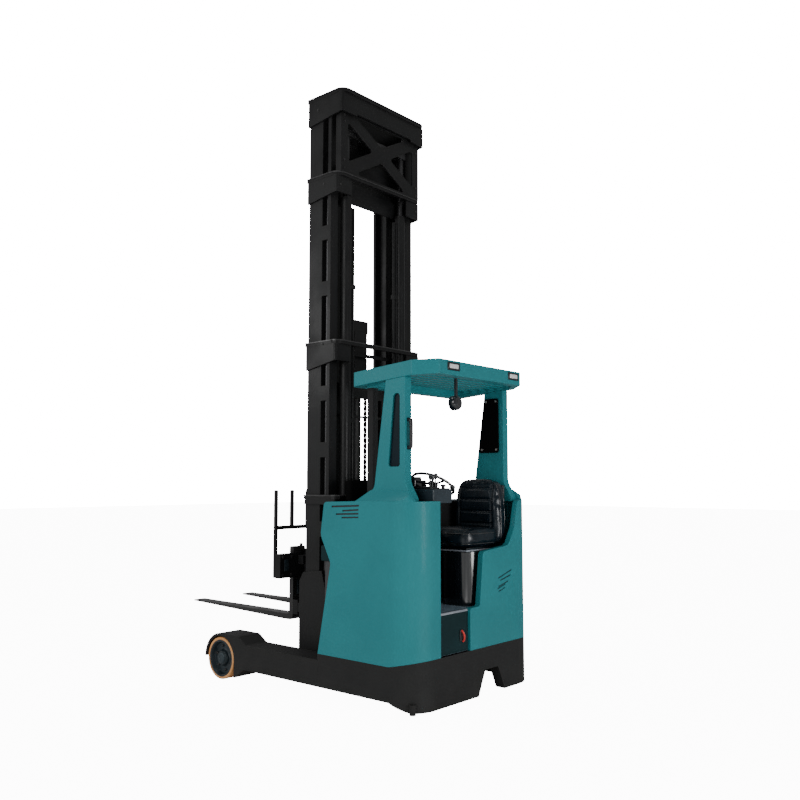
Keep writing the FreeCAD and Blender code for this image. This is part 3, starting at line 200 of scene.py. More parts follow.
# %% Rubbed edges
edge_wear, edge_in, edge_out = node_group("Rubbed edges", {"Breakup": 30.0, "Amount": 0.5}, ["Mask"])
rounded = shader_node(edge_wear, "Bevel", {"Radius": 0.004})
rounded.samples = 4
true_normal = shader_node(edge_wear, "NewGeometry")
facing = shader_node(edge_wear, "VectorMath", operation="DOT_PRODUCT")
near_edge = shader_node(edge_wear, "MapRange", {"From Min": 0.995, "From Max": 0.93})
breakup = shader_node(edge_wear, "TexNoise")
place = shader_node(edge_wear, "TexCoord")
patches = shader_node(edge_wear, "MapRange", {"From Min": 0.42, "From Max": 0.62})
broken = shader_node(edge_wear, "Math", operation="MULTIPLY")
scaled = shader_node(edge_wear, "Math", operation="MULTIPLY")
wire(edge_wear, (rounded, "Normal", facing, 0), (true_normal, "Normal", facing, 1),
     (facing, "Value", near_edge, "Value"), (place, "Object", breakup, "Vector"),
     (edge_in, "Breakup", breakup, "Scale"), (breakup, "Fac", patches, "Value"),
     (near_edge, "Result", broken, 0), (patches, "Result", broken, 1),
     (broken, "Value", scaled, 0), (edge_in, "Amount", scaled, 1), (scaled, "Value", edge_out, "Mask"))

# %% [markdown]
# Grain gives a height that a Bump node turns into a normal: a fine one is the orange peel of sprayed paint,
# a coarse one is powder coat or cast iron.

# %% Surface grain
grain, grain_in, grain_out = node_group("Surface grain", {"Scale": 400.0, "Pebble": 0.0}, ["Height"])
place = shader_node(grain, "TexCoord")
noise = shader_node(grain, "TexNoise", {"Detail": 3.0})
cells = shader_node(grain, "TexVoronoi")
either = shader_node(grain, "Mix")
wire(grain, (place, "Object", noise, "Vector"), (place, "Object", cells, "Vector"),
     (grain_in, "Scale", noise, "Scale"), (grain_in, "Scale", cells, "Scale"),
     (grain_in, "Pebble", either, "Factor"), (noise, "Fac", either, "A"),
     (cells, "Distance", either, "B"), (either, "Result", grain_out, "Height"))

# %% [markdown]
# Dust gathers low down and thins out with height, so its mask falls from one at the floor to nothing at the
# given height.

# %% Dust near the floor
dust, dust_in, dust_out = node_group("Floor dust", {"Height": 0.5, "Scale": 9.0, "Amount": 0.3}, ["Mask"])
place = shader_node(dust, "TexCoord")
split = shader_node(dust, "SeparateXYZ")
fall = shader_node(dust, "MapRange", {"To Min": 1.0, "To Max": 0.0})
noise = shader_node(dust, "TexNoise", {"Detail": 6.0})
patch = shader_node(dust, "Math", operation="MULTIPLY")
scaled = shader_node(dust, "Math", operation="MULTIPLY")
wire(dust, (place, "Object", split, "Vector"), (split, "Z", fall, "Value"),
     (dust_in, "Height", fall, "From Max"), (place, "Object", noise, "Vector"),
     (dust_in, "Scale", noise, "Scale"), (fall, "Result", patch, 0), (noise, "Fac", patch, 1),
     (patch, "Value", scaled, 0), (dust_in, "Amount", scaled, 1), (scaled, "Value", dust_out, "Mask"))

# %% [markdown]
# ## Finishes
# A finish starts from a Principled shader. Its constant numbers sit on the shader's own sockets. Two tones
# are mixed by the drift mask, the edge colour comes in through the rubbed edges, dust lies on top, and the
# grain's height feeds a bump.

# %% Finish helpers
COAT_ROUGHNESS = 0.08
DUST_COLOUR = (0.32, 0.3, 0.27)
materials = {}


def mixed(tree, mask, first, second):
    """A colour that goes from the first, given as numbers or as a socket, to the second by a node's mask."""
    mix = tree.nodes.new("ShaderNodeMix")
    mix.data_type = "RGBA"
    mix.inputs["B"].default_value = (*second, 1.0)
    if isinstance(first, tuple):
        mix.inputs["A"].default_value = (*first, 1.0)
    else:
        tree.links.new(first, mix.inputs["A"])
    tree.links.new(mask.outputs["Mask"], mix.inputs["Factor"])
    return mix.outputs["Result"]


def finish(name, base, second, roughness, metallic=0.0, edge=None, edge_amount=0.5, grain_scale=400.0,
           pebble=0.0, bump=0.05, bump_distance=0.0005, dust_amount=0.0, coat=0.0, drift_scale=3.0,
           roughness_spread=0.08, ior=1.5):
    """A finish of two close tones with rubbed edges, grain and floor dust."""
    material = bpy.data.materials.new(name)
    material.use_nodes = True
    tree = material.node_tree
    shader = tree.nodes["Principled BSDF"]
    shader.inputs["Metallic"].default_value = metallic
    shader.inputs["Coat Weight"].default_value = coat
    shader.inputs["Coat Roughness"].default_value = COAT_ROUGHNESS
    shader.inputs["IOR"].default_value = ior
    tone = group_node(tree, drift, {"Scale": drift_scale})
    colour = mixed(tree, tone, base, second)
    if edge:
        colour = mixed(tree, group_node(tree, edge_wear, {"Amount": edge_amount}), colour, edge)
    if dust_amount:
        colour = mixed(tree, group_node(tree, dust, {"Amount": dust_amount}), colour, DUST_COLOUR)
    tree.links.new(colour, shader.inputs["Base Color"])
    shine = shader_node(tree, "MapRange", {"To Min": max(roughness - roughness_spread, 0.02),
                                           "To Max": min(roughness + roughness_spread, 1.0)})
    texture = group_node(tree, grain, {"Scale": grain_scale, "Pebble": pebble})
    relief = shader_node(tree, "Bump", {"Strength": bump, "Distance": bump_distance})
    wire(tree, (tone, "Mask", shine, "Value"), (shine, "Result", shader, "Roughness"),
         (texture, "Height", relief, "Height"), (relief, "Normal", shader, "Normal"))
    materials[name] = material


# %% [markdown]
# The bodywork is a solid teal enamel with a soft gloss. The chassis and the mast are black: the chassis has
# a coarse powder coat, the mast a smoother semi-gloss paint, and the lips of its collars a lighter black with
# bright edges, which is a painted highlight along their top edges.

# %% Paint finishes
finish("teal_paint", (0.016, 0.205, 0.232), (0.019, 0.222, 0.25), 0.56, edge=(0.06, 0.34, 0.38),
       edge_amount=0.35, grain_scale=260, bump=0.05, coat=0.04, dust_amount=0.03, ior=1.3)
finish("chassis_black", (0.0125, 0.0125, 0.013), (0.016, 0.016, 0.0165), 0.6, edge=(0.045, 0.045, 0.046),
       edge_amount=0.5, grain_scale=900, pebble=0.4, bump=0.15, dust_amount=0.05, ior=1.3)
finish("mast_black", (0.0095, 0.0095, 0.010), (0.013, 0.013, 0.0135), 0.42, edge=(0.055, 0.055, 0.056),
       edge_amount=0.5, grain_scale=500, bump=0.08, ior=1.32)
# A near-black finish with almost no reflection is painted shade. The cover between cab and mast and the pillar
# covers take it, so that they read as gaps in shade.
finish("painted_shade_black", (0.002, 0.002, 0.0022), (0.003, 0.003, 0.0034), 0.85, grain_scale=500, bump=0.05,
       ior=1.15)
finish("console_blue", (0.018, 0.030, 0.040), (0.025, 0.040, 0.052), 0.45, grain_scale=700, pebble=0.6,
       bump=0.12, edge=(0.07, 0.09, 0.11), edge_amount=0.4)
# The collar lips: a lighter black with strong bright edges, a painted highlight on the top edge of each
# collar.
finish("lip_painted_highlight", (0.022, 0.022, 0.023), (0.03, 0.03, 0.031), 0.32, edge=(0.1, 0.1, 0.1), edge_amount=0.7,
       grain_scale=500, bump=0.05)
finish("fork_steel", (0.012, 0.012, 0.013), (0.022, 0.021, 0.021), 0.42, edge=(0.14, 0.13, 0.125),
       edge_amount=0.8, grain_scale=320, bump=0.12, drift_scale=7)
finish("battery_grey", (0.035, 0.037, 0.04), (0.045, 0.047, 0.05), 0.5, edge=(0.12, 0.12, 0.12),
       grain_scale=600, bump=0.1)

# %% [markdown]
# Metal parts are left bare where they run or roll: chromed piston rods, cast hubs and oiled chain.

# %% Metal finishes
finish("hub_iron", (0.012, 0.022, 0.028), (0.02, 0.032, 0.04), 0.42, metallic=0.3, edge=(0.2, 0.2, 0.2),
       edge_amount=0.6, grain_scale=350, pebble=0.5, bump=0.15, drift_scale=14)
finish("bright_steel", (0.55, 0.55, 0.56), (0.62, 0.62, 0.63), 0.16, metallic=1.0, grain_scale=900, bump=0.03,
       roughness_spread=0.05)
finish("zinc_bolt", (0.30, 0.30, 0.29), (0.42, 0.41, 0.39), 0.38, metallic=1.0, grain_scale=800, bump=0.08,
       drift_scale=40)
finish("dark_bolt", (0.035, 0.035, 0.037), (0.06, 0.06, 0.06), 0.4, metallic=0.7, grain_scale=800, bump=0.08,
       drift_scale=40)
finish("dark_steel", (0.045, 0.045, 0.047), (0.07, 0.07, 0.072), 0.3, metallic=0.8, grain_scale=900, bump=0.03)
finish("cap_grey", (0.022, 0.036, 0.045), (0.034, 0.05, 0.06), 0.36, metallic=0.4, grain_scale=500, bump=0.08,
       drift_scale=20)
finish("chain_steel", (0.05, 0.046, 0.04), (0.10, 0.09, 0.078), 0.38, metallic=0.9, grain_scale=600, bump=0.1,
       drift_scale=30)

# %% [markdown]
# Cast polyurethane on the load wheels is a warm amber. Most of what the driver touches is black, and the
# rubber and plastic round the floor is a blue grey.

# %% Rubber and plastic finishes
finish("orange_tyre", (0.70, 0.30, 0.085), (0.78, 0.37, 0.12), 0.36, grain_scale=160, bump=0.06, coat=0.15,
       dust_amount=0.18, drift_scale=12, edge=(0.80, 0.48, 0.22), edge_amount=0.4)
finish("dark_tyre", (0.02, 0.019, 0.018), (0.032, 0.03, 0.028), 0.7, grain_scale=300, bump=0.2,
       dust_amount=0.4, drift_scale=12)
finish("floor_rubber", (0.11, 0.165, 0.205), (0.14, 0.20, 0.245), 0.55, grain_scale=500, pebble=0.5, bump=0.2,
       edge=(0.14, 0.18, 0.21), edge_amount=0.5, drift_scale=10)
finish("riser_rubber", (0.006, 0.022, 0.025), (0.010, 0.03, 0.034), 0.8, grain_scale=500, pebble=0.5,
       bump=0.15, ior=1.25)
finish("nosing_grey", (0.22, 0.25, 0.29), (0.27, 0.30, 0.34), 0.45, grain_scale=500, bump=0.1, drift_scale=10)
finish("seat_cloth", (0.0032, 0.0088, 0.0145), (0.005, 0.0122, 0.019), 0.34, grain_scale=900, pebble=0.5,
       bump=0.06, bump_distance=0.0003, coat=0.06, drift_scale=8, ior=1.38)
finish("dark_plastic", (0.0085, 0.0095, 0.012), (0.013, 0.014, 0.018), 0.38, grain_scale=700, pebble=0.6,
       bump=0.12, edge=(0.05, 0.052, 0.058), edge_amount=0.4)
finish("gloss_plastic", (0.0045, 0.006, 0.0085), (0.007, 0.009, 0.012), 0.16, grain_scale=120, bump=0.03,
       coat=0.8, roughness_spread=0.04)
finish("lamp_lens", (0.80, 0.80, 0.78), (0.88, 0.88, 0.87), 0.12, grain_scale=120, bump=0.02, coat=0.6)
finish("red_plastic", (0.62, 0.022, 0.02), (0.72, 0.035, 0.028), 0.32, grain_scale=400, bump=0.06, coat=0.3,
       edge=(0.85, 0.2, 0.15), edge_amount=0.3)
finish("screen_glass", (0.004, 0.006, 0.008), (0.006, 0.009, 0.012), 0.08, grain_scale=60, bump=0.01, coat=0.8)
finish("pane_dark", (0.005, 0.013, 0.019), (0.008, 0.019, 0.027), 0.38, grain_scale=60, bump=0.01, ior=1.2)
finish("studio_floor", (0.86, 0.86, 0.855), (0.88, 0.88, 0.875), 0.75, grain_scale=40, bump=0.01)
floor.data.materials.append(materials["studio_floor"])
floor_tree = materials["studio_floor"].node_tree
floor_shader = floor_tree.nodes["Principled BSDF"]
floor_shader.inputs["Emission Color"].default_value = WHITE
camera_glow(floor_tree, floor_shader, "Emission Strength", lit=0.0, seen=12.0)
print(len(materials), "finishes")

# %% [markdown]
# ## Building pieces
# Small helpers turn outlines and profiles into meshes. A piece gets its finish and the body that it moves
# with in one call, so no piece given a body can be left behind when a joint moves.


def add_piece(name, mesh, body, finish_name, smooth_angle=35):
    """Put a mesh in the scene as a piece of a body with a finish; a piece without a body is left unattached.
    """
    mesh.materials.clear()
    mesh.materials.append(materials[finish_name])
    piece = bpy.data.objects.new(name, mesh)
    bpy.context.scene.collection.objects.link(piece)
    if smooth_angle:
        mesh.polygons.foreach_set("use_smooth", [True] * len(mesh.polygons))
        mesh.set_sharp_from_angle(angle=math.radians(smooth_angle))
    if body:
        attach(piece, body)
    return piece


def finished_mesh(name, bm):
    """A bmesh turned into a mesh with its normals outside."""
    bmesh.ops.recalc_face_normals(bm, faces=bm.faces[:])
    mesh = bpy.data.meshes.new(name)
    bm.to_mesh(mesh)
    bm.free()
    return mesh


# %% Shapes
def add_block(bm, low, high, bevel=0.002, segments=2):
    """A block with rounded edges between two corners."""
    low, high = Vector(low), Vector(high)
    made = bmesh.ops.create_cube(bm, size=1.0)
    size = high - low
    bmesh.ops.scale(bm, vec=size, verts=made["verts"])
    bmesh.ops.translate(bm, vec=(low + high) / 2, verts=made["verts"])
    if bevel:
        edges = list({edge for vert in made["verts"] for edge in vert.link_edges})
        bmesh.ops.bevel(bm, geom=edges, offset=min(bevel, min(size) * 0.45), segments=segments, profile=0.5,
                        affect="EDGES")


def add_walls(bm, rings):
    """Faces between each closed ring of points and the next."""
    for first, second in zip(rings, rings[1:]):
        for i in range(len(first)):
            j = (i + 1) % len(first)
            bm.faces.new([first[i], first[j], second[j], second[i]])


def add_prism(bm, first, second):
    """A closed prism between two outlines with the same number of points."""
    rings = [[bm.verts.new(point) for point in outline] for outline in (first, second)]
    add_walls(bm, rings)
    for ring in rings:
        bm.faces.new(ring)


def add_turned(bm, profile, centre, axis, segments=48):
    """A turned part: the profile lists (distance along the axis, radius) and ends on the axis."""
    spin = Vector(axis).to_track_quat("Z", "Y").to_matrix()
    centre = Vector(centre)
    turns = [2 * math.pi * i / segments for i in range(segments)]
    rings = []
    for along, radius in profile:
        if radius <= 0:
            rings.append([bm.verts.new(centre + spin @ Vector((0, 0, along)))])
            continue
        rings.append([bm.verts.new(centre + spin @ Vector((radius * math.cos(a), radius * math.sin(a), along)))
                      for a in turns])
    for first, second in zip(rings, rings[1:]):
        for i in range(segments):
            j = (i + 1) % segments
            corners = [first[i % len(first)], first[j % len(first)],
                       second[j % len(second)], second[i % len(second)]]
            unique = list(dict.fromkeys(corners))
            if len(unique) > 2:
                bm.faces.new(unique)
    return rings


def add_ring(bm, profile, centre, axis, segments=48):
    """A turned part whose profile is a closed loop, such as a tyre."""
    rings = add_turned(bm, profile, centre, axis, segments)
    add_walls(bm, [rings[-1], rings[0]])


def built(name, body, finish_name, blocks=(), rings=(), turned=(), smooth_angle=None):
    """One piece from blocks, rings and turned parts.

    A block lists low, high, bevel and segments; a ring or turned part its profile, centre, axis and segments.
    A piece with blocks is shaded sharp from 30 degrees and any other from 35, unless an angle is given."""
    bm = bmesh.new()
    for add, shapes in ((add_block, blocks), (add_ring, rings), (add_turned, turned)):
        for shape in shapes:
            add(bm, *shape)
    return add_piece(name, finished_mesh(name, bm), body, finish_name, smooth_angle or (30 if blocks else 35))


def around(centre, radius, depth, turns):
    """Places on an upright circle about an axle, at a distance along it."""
    return [centre + Vector((radius * math.cos(a), depth, radius * math.sin(a))) for a in turns]


# %% Bolts and pipes
def add_hex(bm, place, direction, size, height):
    """A hexagon bolt head with a washer, both a little drawn in at the top."""
    direction = Vector(direction).normalized()
    spin = direction.to_track_quat("Z", "Y").to_matrix()
    for radius, low, high, count in ((size * 1.25, -0.001, height * 0.3, 16), (size, height * 0.3, height, 6)):
        turns = [2 * math.pi * i / count for i in range(count)]
        rings = [[bm.verts.new(Vector(place) + direction * along
                               + spin @ Vector((r * math.cos(a), r * math.sin(a), 0))) for a in turns]
                 for along, r in ((low, radius), (high * 0.85 + low * 0.15, radius), (high, radius * 0.88))]
        add_walls(bm, rings)
        bm.faces.new(rings[-1])


def bolt_set(name, body, places, direction, size=0.008, height=0.006, finish_name="dark_bolt"):
    """One piece with a bolt head at each place."""
    bm = bmesh.new()
    for place in places:
        add_hex(bm, place, direction, size, height)
    add_piece(name, finished_mesh(name, bm), body, finish_name, 30)


def pipe(name, body, points, radius, finish_name, cyclic=False):
    """A pipe, rod or cord along a smooth line through its guide points."""
    curve = bpy.data.curves.new(name, "CURVE")
    curve.dimensions = "3D"
    curve.bevel_depth = radius
    curve.bevel_resolution = 3
    curve.resolution_u = 8
    curve.use_fill_caps = True
    spline = curve.splines.new("NURBS")
    spline.points.add(len(points) - 1)
    for spot, point in zip(spline.points, points):
        spot.co = (*point, 1.0)
    spline.order_u = 3
    spline.use_endpoint_u = not cyclic
    spline.use_cyclic_u = cyclic
    curve.materials.append(materials[finish_name])
    piece = bpy.data.objects.new(name, curve)
    bpy.context.scene.collection.objects.link(piece)
    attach(piece, body)


# %% [markdown]
# ## Sheet metal and castings with soft edges
# The CAD solids have the right shape but knife-sharp edges, and a sharp edge never catches a highlight.
# Each solid's mesh is copied, its flat triangles are joined back into whole faces, and a narrow bevel runs
# round the edges. The copy then stands for the CAD node.

# %% Soften the CAD solids
CREASE = math.radians(28)


def soft_edges(piece, width):
    """A narrow bevel along every edge sharper than the crease, and shading to match."""
    bevel = piece.modifiers.new("Soft edges", "BEVEL")
    bevel.width = width
    bevel.segments = 2
    bevel.limit_method = "ANGLE"
    bevel.angle_limit = CREASE
    bevel.use_clamp_overlap = True
    bevel.harden_normals = True
    piece.data.polygons.foreach_set("use_smooth", [True] * len(piece.data.polygons))
    piece.data.set_sharp_from_angle(angle=CREASE)


def softened(node, width, finish_name):
    """A copy of a CAD node with bevelled edges, shown in its place."""
    bm = bmesh.new()
    bm.from_mesh(frame["nodes"][node].data)
    bmesh.ops.remove_doubles(bm, verts=bm.verts[:], dist=0.00002)
    bmesh.ops.dissolve_limit(bm, angle_limit=math.radians(1.0), verts=bm.verts[:], edges=bm.edges[:])
    piece = add_piece(node + "_soft", finished_mesh(node + "_soft", bm), bodies[node], finish_name, 0)
    soft_edges(piece, width)
    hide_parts(node)
    return piece


EDGE_WIDTHS = {
    "chassis_tub": 0.006, "leg_left": 0.006, "leg_right": 0.006, "drive_bridge": 0.002, "drive_unit": 0.004,
    "side_panel_left": 0.005, "side_panel_right": 0.005, "rear_cover": 0.005, "cab_floor": 0.003,
    "battery_cover": 0.003, "battery": 0.004, "pillars": 0.007, "front_post": 0.005, "roof": 0.004,
    "mast_outer": 0.003, "mast_yokes": 0.0025, "mast_head_brace": 0.0025, "lift_cylinders": 0.0015,
    "lift_rods": 0.0015, "mast_middle": 0.003, "mast_inner": 0.003, "free_lift_cylinder": 0.002,
    "reach_carriage": 0.003, "reach_cylinder": 0.0015, "reach_rod": 0.001, "lift_bracket": 0.0025,
    "tilt_frame": 0.0025, "shift_carriage": 0.004, "fork_left": 0.003, "fork_right": 0.003,
    "seat_pedestal": 0.006, "control_console": 0.008, "pillar_covers": 0.003, "load_backrest": 0.008,
}
# The pillar covers take the near-black painted-shade finish.
OTHER_FINISHES = {"seat_pedestal": "gloss_plastic", "lift_rods": "dark_steel", "load_backrest": "mast_black",
                  "pillar_covers": "painted_shade_black", "control_console": "console_blue"}
soft = {node: softened(node, width, OTHER_FINISHES.get(node, finishes[node]))
        for node, width in EDGE_WIDTHS.items()}
print(len(soft), "softened solids")

# %% [markdown]
# ## Wheels
# The load wheels are an amber ring cast on a dished iron hub, with a bearing cap and six bolts in the dish.
# The drive wheel has a black tyre with three grooves. Every profile lists the distance along the axle and
# the radius.

# %% Load wheels
LOAD_TYRE = [(0.530, 0.1246), (0.530, 0.1375), (0.532, 0.1405), (0.536, 0.1422), (0.560, 0.1425),
             (0.600, 0.1425), (0.624, 0.1422), (0.628, 0.1405), (0.630, 0.1375),
             (0.630, 0.1275), (0.628, 0.1246)]
LOAD_HUB = [(0.530, 0.0255), (0.530, 0.1243), (0.627, 0.1243), (0.629, 0.1225), (0.629, 0.1125),
            (0.626, 0.1105), (0.604, 0.1045), (0.598, 0.1005), (0.596, 0.0620), (0.600, 0.0560),
            (0.616, 0.0500), (0.622, 0.0440), (0.622, 0.0255)]
BEARING_CAP = [(0.614, 0.0), (0.614, 0.0365), (0.624, 0.0365), (0.627, 0.0335), (0.629, 0.0260),
               (0.6285, 0.0180), (0.6265, 0.0160), (0.6265, 0.0)]
for side, label in SIDES:
    body = "load_wheel_" + label
    centre, axis = at(1755, 0, 142.5), (0, side, 0)
    tyre = built(f"Load_tyre_{label}", body, "orange_tyre", rings=[(LOAD_TYRE, centre, axis, 96)])
    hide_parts("load_tyre_" + label)
    hub = built(f"Load_hub_{label}", body, "hub_iron", rings=[(LOAD_HUB, centre, axis, 96)])
    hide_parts("load_hub_" + label)
    built(f"Bearing_cap_{label}", body, "cap_grey", turned=[(BEARING_CAP, centre, axis, 48)])
    sixths = [math.pi * i / 3 + 0.3 for i in range(6)]
    bolt_set(f"Hub_bolts_{label}", body, around(centre, 0.081, side * 0.597, sixths), axis, 0.0085, 0.009)

# %% Drive wheel
DRIVE_HUB = [(0.062, 0.026), (0.062, 0.0700), (0.040, 0.0780), (0.040, 0.1250), (0.064, 0.1320),
             (0.065, 0.1432), (-0.057, 0.1432), (-0.057, 0.1330),
             (-0.030, 0.1250), (-0.030, 0.0700), (-0.050, 0.0600),
             (-0.052, 0.026)]
centre, axis = at(320, -130, 171), (0, 1, 0)
drive_tyre = [(0.065, 0.1435), (0.065, 0.166), (0.060, 0.171)]
for middle in (0.036, 0.0, -0.036):
    drive_tyre += [(middle + 0.004, 0.171), (middle + 0.003, 0.164), (middle - 0.003, 0.164),
                   (middle - 0.004, 0.171)]
drive_tyre += [(-0.060, 0.171), (-0.065, 0.166), (-0.065, 0.1435)]
tyre = built("Drive_tyre", "drive_wheel", "dark_tyre", rings=[(drive_tyre, centre, axis, 72)], smooth_angle=30)
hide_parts("drive_tyre")
hub = built("Drive_hub", "drive_wheel", "hub_iron", rings=[(DRIVE_HUB, centre, axis, 72)], smooth_angle=30)
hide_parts("drive_hub")
eighths = [math.pi * i / 4 for i in range(8)]
bolt_set("Drive_nuts", "drive_wheel", around(centre, 0.098, -0.030, eighths), (0, -1, 0), 0.011, 0.012,
         "zinc_bolt")

# %% [markdown]
# ## Seat
# A cushion isn't a block: its cover swells between the seams. Each pad starts from an outline a little
# inside the CAD solid, is remeshed, and is blown up as cloth with air inside. How far a point may move is
# capped. The folds are then calmed, the mesh is made finer, and the sewn channels come last, because a
# remesh would swallow them.

# %% Pad helpers
VOXEL = 0.006
AIR_PRESSURE = 4.0
CLOTH_STEPS = 20
LARGEST_SWELL = 0.022
WELT_RADIUS = 0.0042
WELT_POINTS = 72


def applied(piece):
    """The piece's modifiers made part of its mesh."""
    bpy.context.view_layer.update()
    mesh = bpy.data.meshes.new_from_object(piece.evaluated_get(bpy.context.evaluated_depsgraph_get()))
    piece.modifiers.clear()
    piece.data = mesh
    return mesh


def smoothed(piece, name, iterations):
    """A smoothing modifier of half strength."""
    smooth = piece.modifiers.new(name, "SMOOTH")
    smooth.factor = 0.5
    smooth.iterations = iterations


def puffed(node, outline, axis_index, low, high):
    """A swollen pad from its outline and its two faces, one level smoother, that stands for the CAD node."""
    faces = []
    for depth in (low, high):
        places = [[first, second] for first, second in outline]
        for place in places:
            place.insert(axis_index, depth)
        faces.append([at(*place) for place in places])
    bm = bmesh.new()
    add_prism(bm, *faces)
    piece = add_piece(node + "_pad", finished_mesh(node + "_pad", bm), bodies[node], "seat_cloth", 0)
    remesh = piece.modifiers.new("Even quads", "REMESH")
    remesh.mode = "VOXEL"
    remesh.voxel_size = VOXEL
    smoothed(piece, "Round corners", 14)
    mesh = applied(piece)
    rest = [vert.co.copy() for vert in mesh.vertices]
    cloth = piece.modifiers.new("Air", "CLOTH")
    cloth.settings.use_pressure = True
    cloth.settings.uniform_pressure_force = AIR_PRESSURE
    cloth.settings.effector_weights.gravity = 0.0
    cloth.settings.quality = 2
    cloth.point_cache.frame_end = CLOTH_STEPS
    for step in range(1, CLOTH_STEPS + 1):
        bpy.context.scene.frame_set(step)
    mesh = applied(piece)
    blown = []
    for vert, start in zip(mesh.vertices, rest):
        moved = vert.co - start
        blown.extend(start + moved * min(1.0, LARGEST_SWELL / max(moved.length, 1e-9)))
    mesh.vertices.foreach_set("co", blown)
    mesh.update()
    bpy.context.scene.frame_set(1)
    smoothed(piece, "Calm folds", 24)
    finer = piece.modifiers.new("Finer", "SUBSURF")
    finer.levels = finer.render_levels = 1
    mesh = applied(piece)
    mesh.polygons.foreach_set("use_smooth", [True] * len(mesh.polygons))
    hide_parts(node)
    return piece


def pressed(piece, direction, grooves, bolster):
    """Sewn channels and raised bolsters on the side that faces the direction, after the simulation.

    A channel lists the axis it cuts across, its place, depth and width, and the axis it follows from low to
    high.
    The bolster lists the axis, the middle and half width of the flat part between, and its height and ramp."""
    direction = Vector(direction)
    mesh = piece.data
    rest = [(vert.co.copy(), vert.normal.dot(direction)) for vert in mesh.vertices]
    across_flat, middle, flat, height, ramp = bolster
    moved = []
    for co, facing in rest:
        shift = 0.0
        if facing >= 0.2:
            for across, place, depth, width, along, low, high in grooves:
                if low < co[along] < high:
                    shift -= depth * math.exp(-((co[across] - place) / width) ** 2)
            share = min(1.0, max(0.0, (abs(co[across_flat] - middle) - flat) / ramp))
            shift += height * share * share * (3 - 2 * share)
        moved.extend(co + direction * shift * max(facing, 0.0))
    mesh.vertices.foreach_set("co", moved)
    mesh.update()


def welt(name, piece, centre, second):
    """A cord of welt round a pad, where lines from the centre, in X and a second direction, leave the pad."""
    bm = bmesh.new()
    bm.from_mesh(piece.data)
    tree = BVHTree.FromBMesh(bm)
    bm.free()
    points = []
    for i in range(WELT_POINTS):
        a = 2 * math.pi * i / WELT_POINTS
        way = (Vector((1, 0, 0)) * math.cos(a) + Vector(second) * math.sin(a)).normalized()
        hit = tree.ray_cast(centre + way * 0.8, -way)[0]
        if hit:
            points.append(hit)
    pipe(name, bodies["seat_cushion"], points, WELT_RADIUS, "gloss_plastic", cyclic=True)


# %% Seat pads
seat_middle = at(255, 0, 0).x
cushion_plan = [(75, -312), (435, -312), (450, -280), (456, -180), (452, -70), (436, -5), (405, 32), (345, 50),
                (255, 56), (165, 50), (105, 32), (74, -5), (58, -70), (54, -180), (60, -280)]
cushion = puffed("seat_cushion", cushion_plan, 2, 956, 1044)
pressed(cushion, (0, 0, 1),
        [(1, y, 0.006, 0.006, 0, seat_middle - 0.135, seat_middle + 0.135) for y in (-0.195, -0.085)]
        + [(0, seat_middle + x, 0.008, 0.007, 1, -0.30, 0.05) for x in (-0.137, 0.137)],
        (0, seat_middle, 0.135, 0.014, 0.05))
back_front = [(84, 955), (426, 955), (444, 1000), (446, 1120), (438, 1240), (424, 1310), (402, 1352),
              (366, 1374), (310, 1381), (200, 1381), (144, 1374), (108, 1352), (86, 1310), (72, 1240),
              (64, 1120), (66, 1000)]
seat_back = puffed("seat_back", back_front, 1, -418, -334)
pressed(seat_back, (0, 1, 0),
        [(2, z, 0.007, 0.007, 0, seat_middle - 0.128, seat_middle + 0.128)
         for z in (1.085, 1.165, 1.245, 1.320)]
        + [(0, seat_middle + x, 0.009, 0.008, 2, 0.99, 1.34) for x in (-0.131, 0.131)],
        (0, seat_middle, 0.128, 0.016, 0.05))
built("Back_shell", "chassis", "dark_plastic", [(at(96, -440, 960), at(414, -418, 1340), 0.010, 3)])
built("Cushion_pan_rim", "chassis", "nosing_grey", [(at(73, -427, 922), at(437, 31, 934), 0.004, 2)])
welt("Cushion_welt_top", cushion, at(255, -130, 1032), (0, 1, 0))
welt("Cushion_welt_low", cushion, at(255, -130, 968), (0, 1, 0))
welt("Back_welt_front", seat_back, at(255, -352, 1170), (0, 0, 1))
welt("Back_welt_rear", seat_back, at(255, -412, 1170), (0, 0, 1))
print("seat pads:", len(cushion.data.polygons), len(seat_back.data.polygons), "faces")

# %% [markdown]
# ## Cab
# The riser under the driver's floor has an upright ribbed mat with a handle low on it, and the floor has
# ribs across it. The console carries a display, three levers, switches and a stop button, and the steering
# wheel is small with a knob for one hand.

# %% Riser and floor mats
built("Riser_ribs", "chassis", "riser_rubber",
      [(at(16, y, 346), at(21.5, y + 9, 572), 0.0018, 1) for y in (106 + i * 19 for i in range(15))])
built("Riser_mat", "chassis", "riser_rubber", [(at(15, 101, 343), at(18.5, 389, 574), 0.001, 1)])
built("Floor_nosing", "chassis", "nosing_grey", [(at(15, 100, 574), at(33, 378, 587.5), 0.003, 2)])
built("Floor_ribs", "chassis", "floor_rubber",
      [(at(x, 40, 584.5), at(x + 11, 560, 588.5), 0.0015, 1) for x in (60 + i * 24 for i in range(27))])
built("Tow_box", "chassis", "dark_plastic", [(at(8, 143, 405), at(20, 187, 470), 0.004, 2)])
pipe("Tow_handle", "chassis",
     [at(12, 156, 400), at(0, 156, 410), at(-4, 160, 432), at(-2, 168, 458), at(10, 172, 468)],
     0.006, "red_plastic")

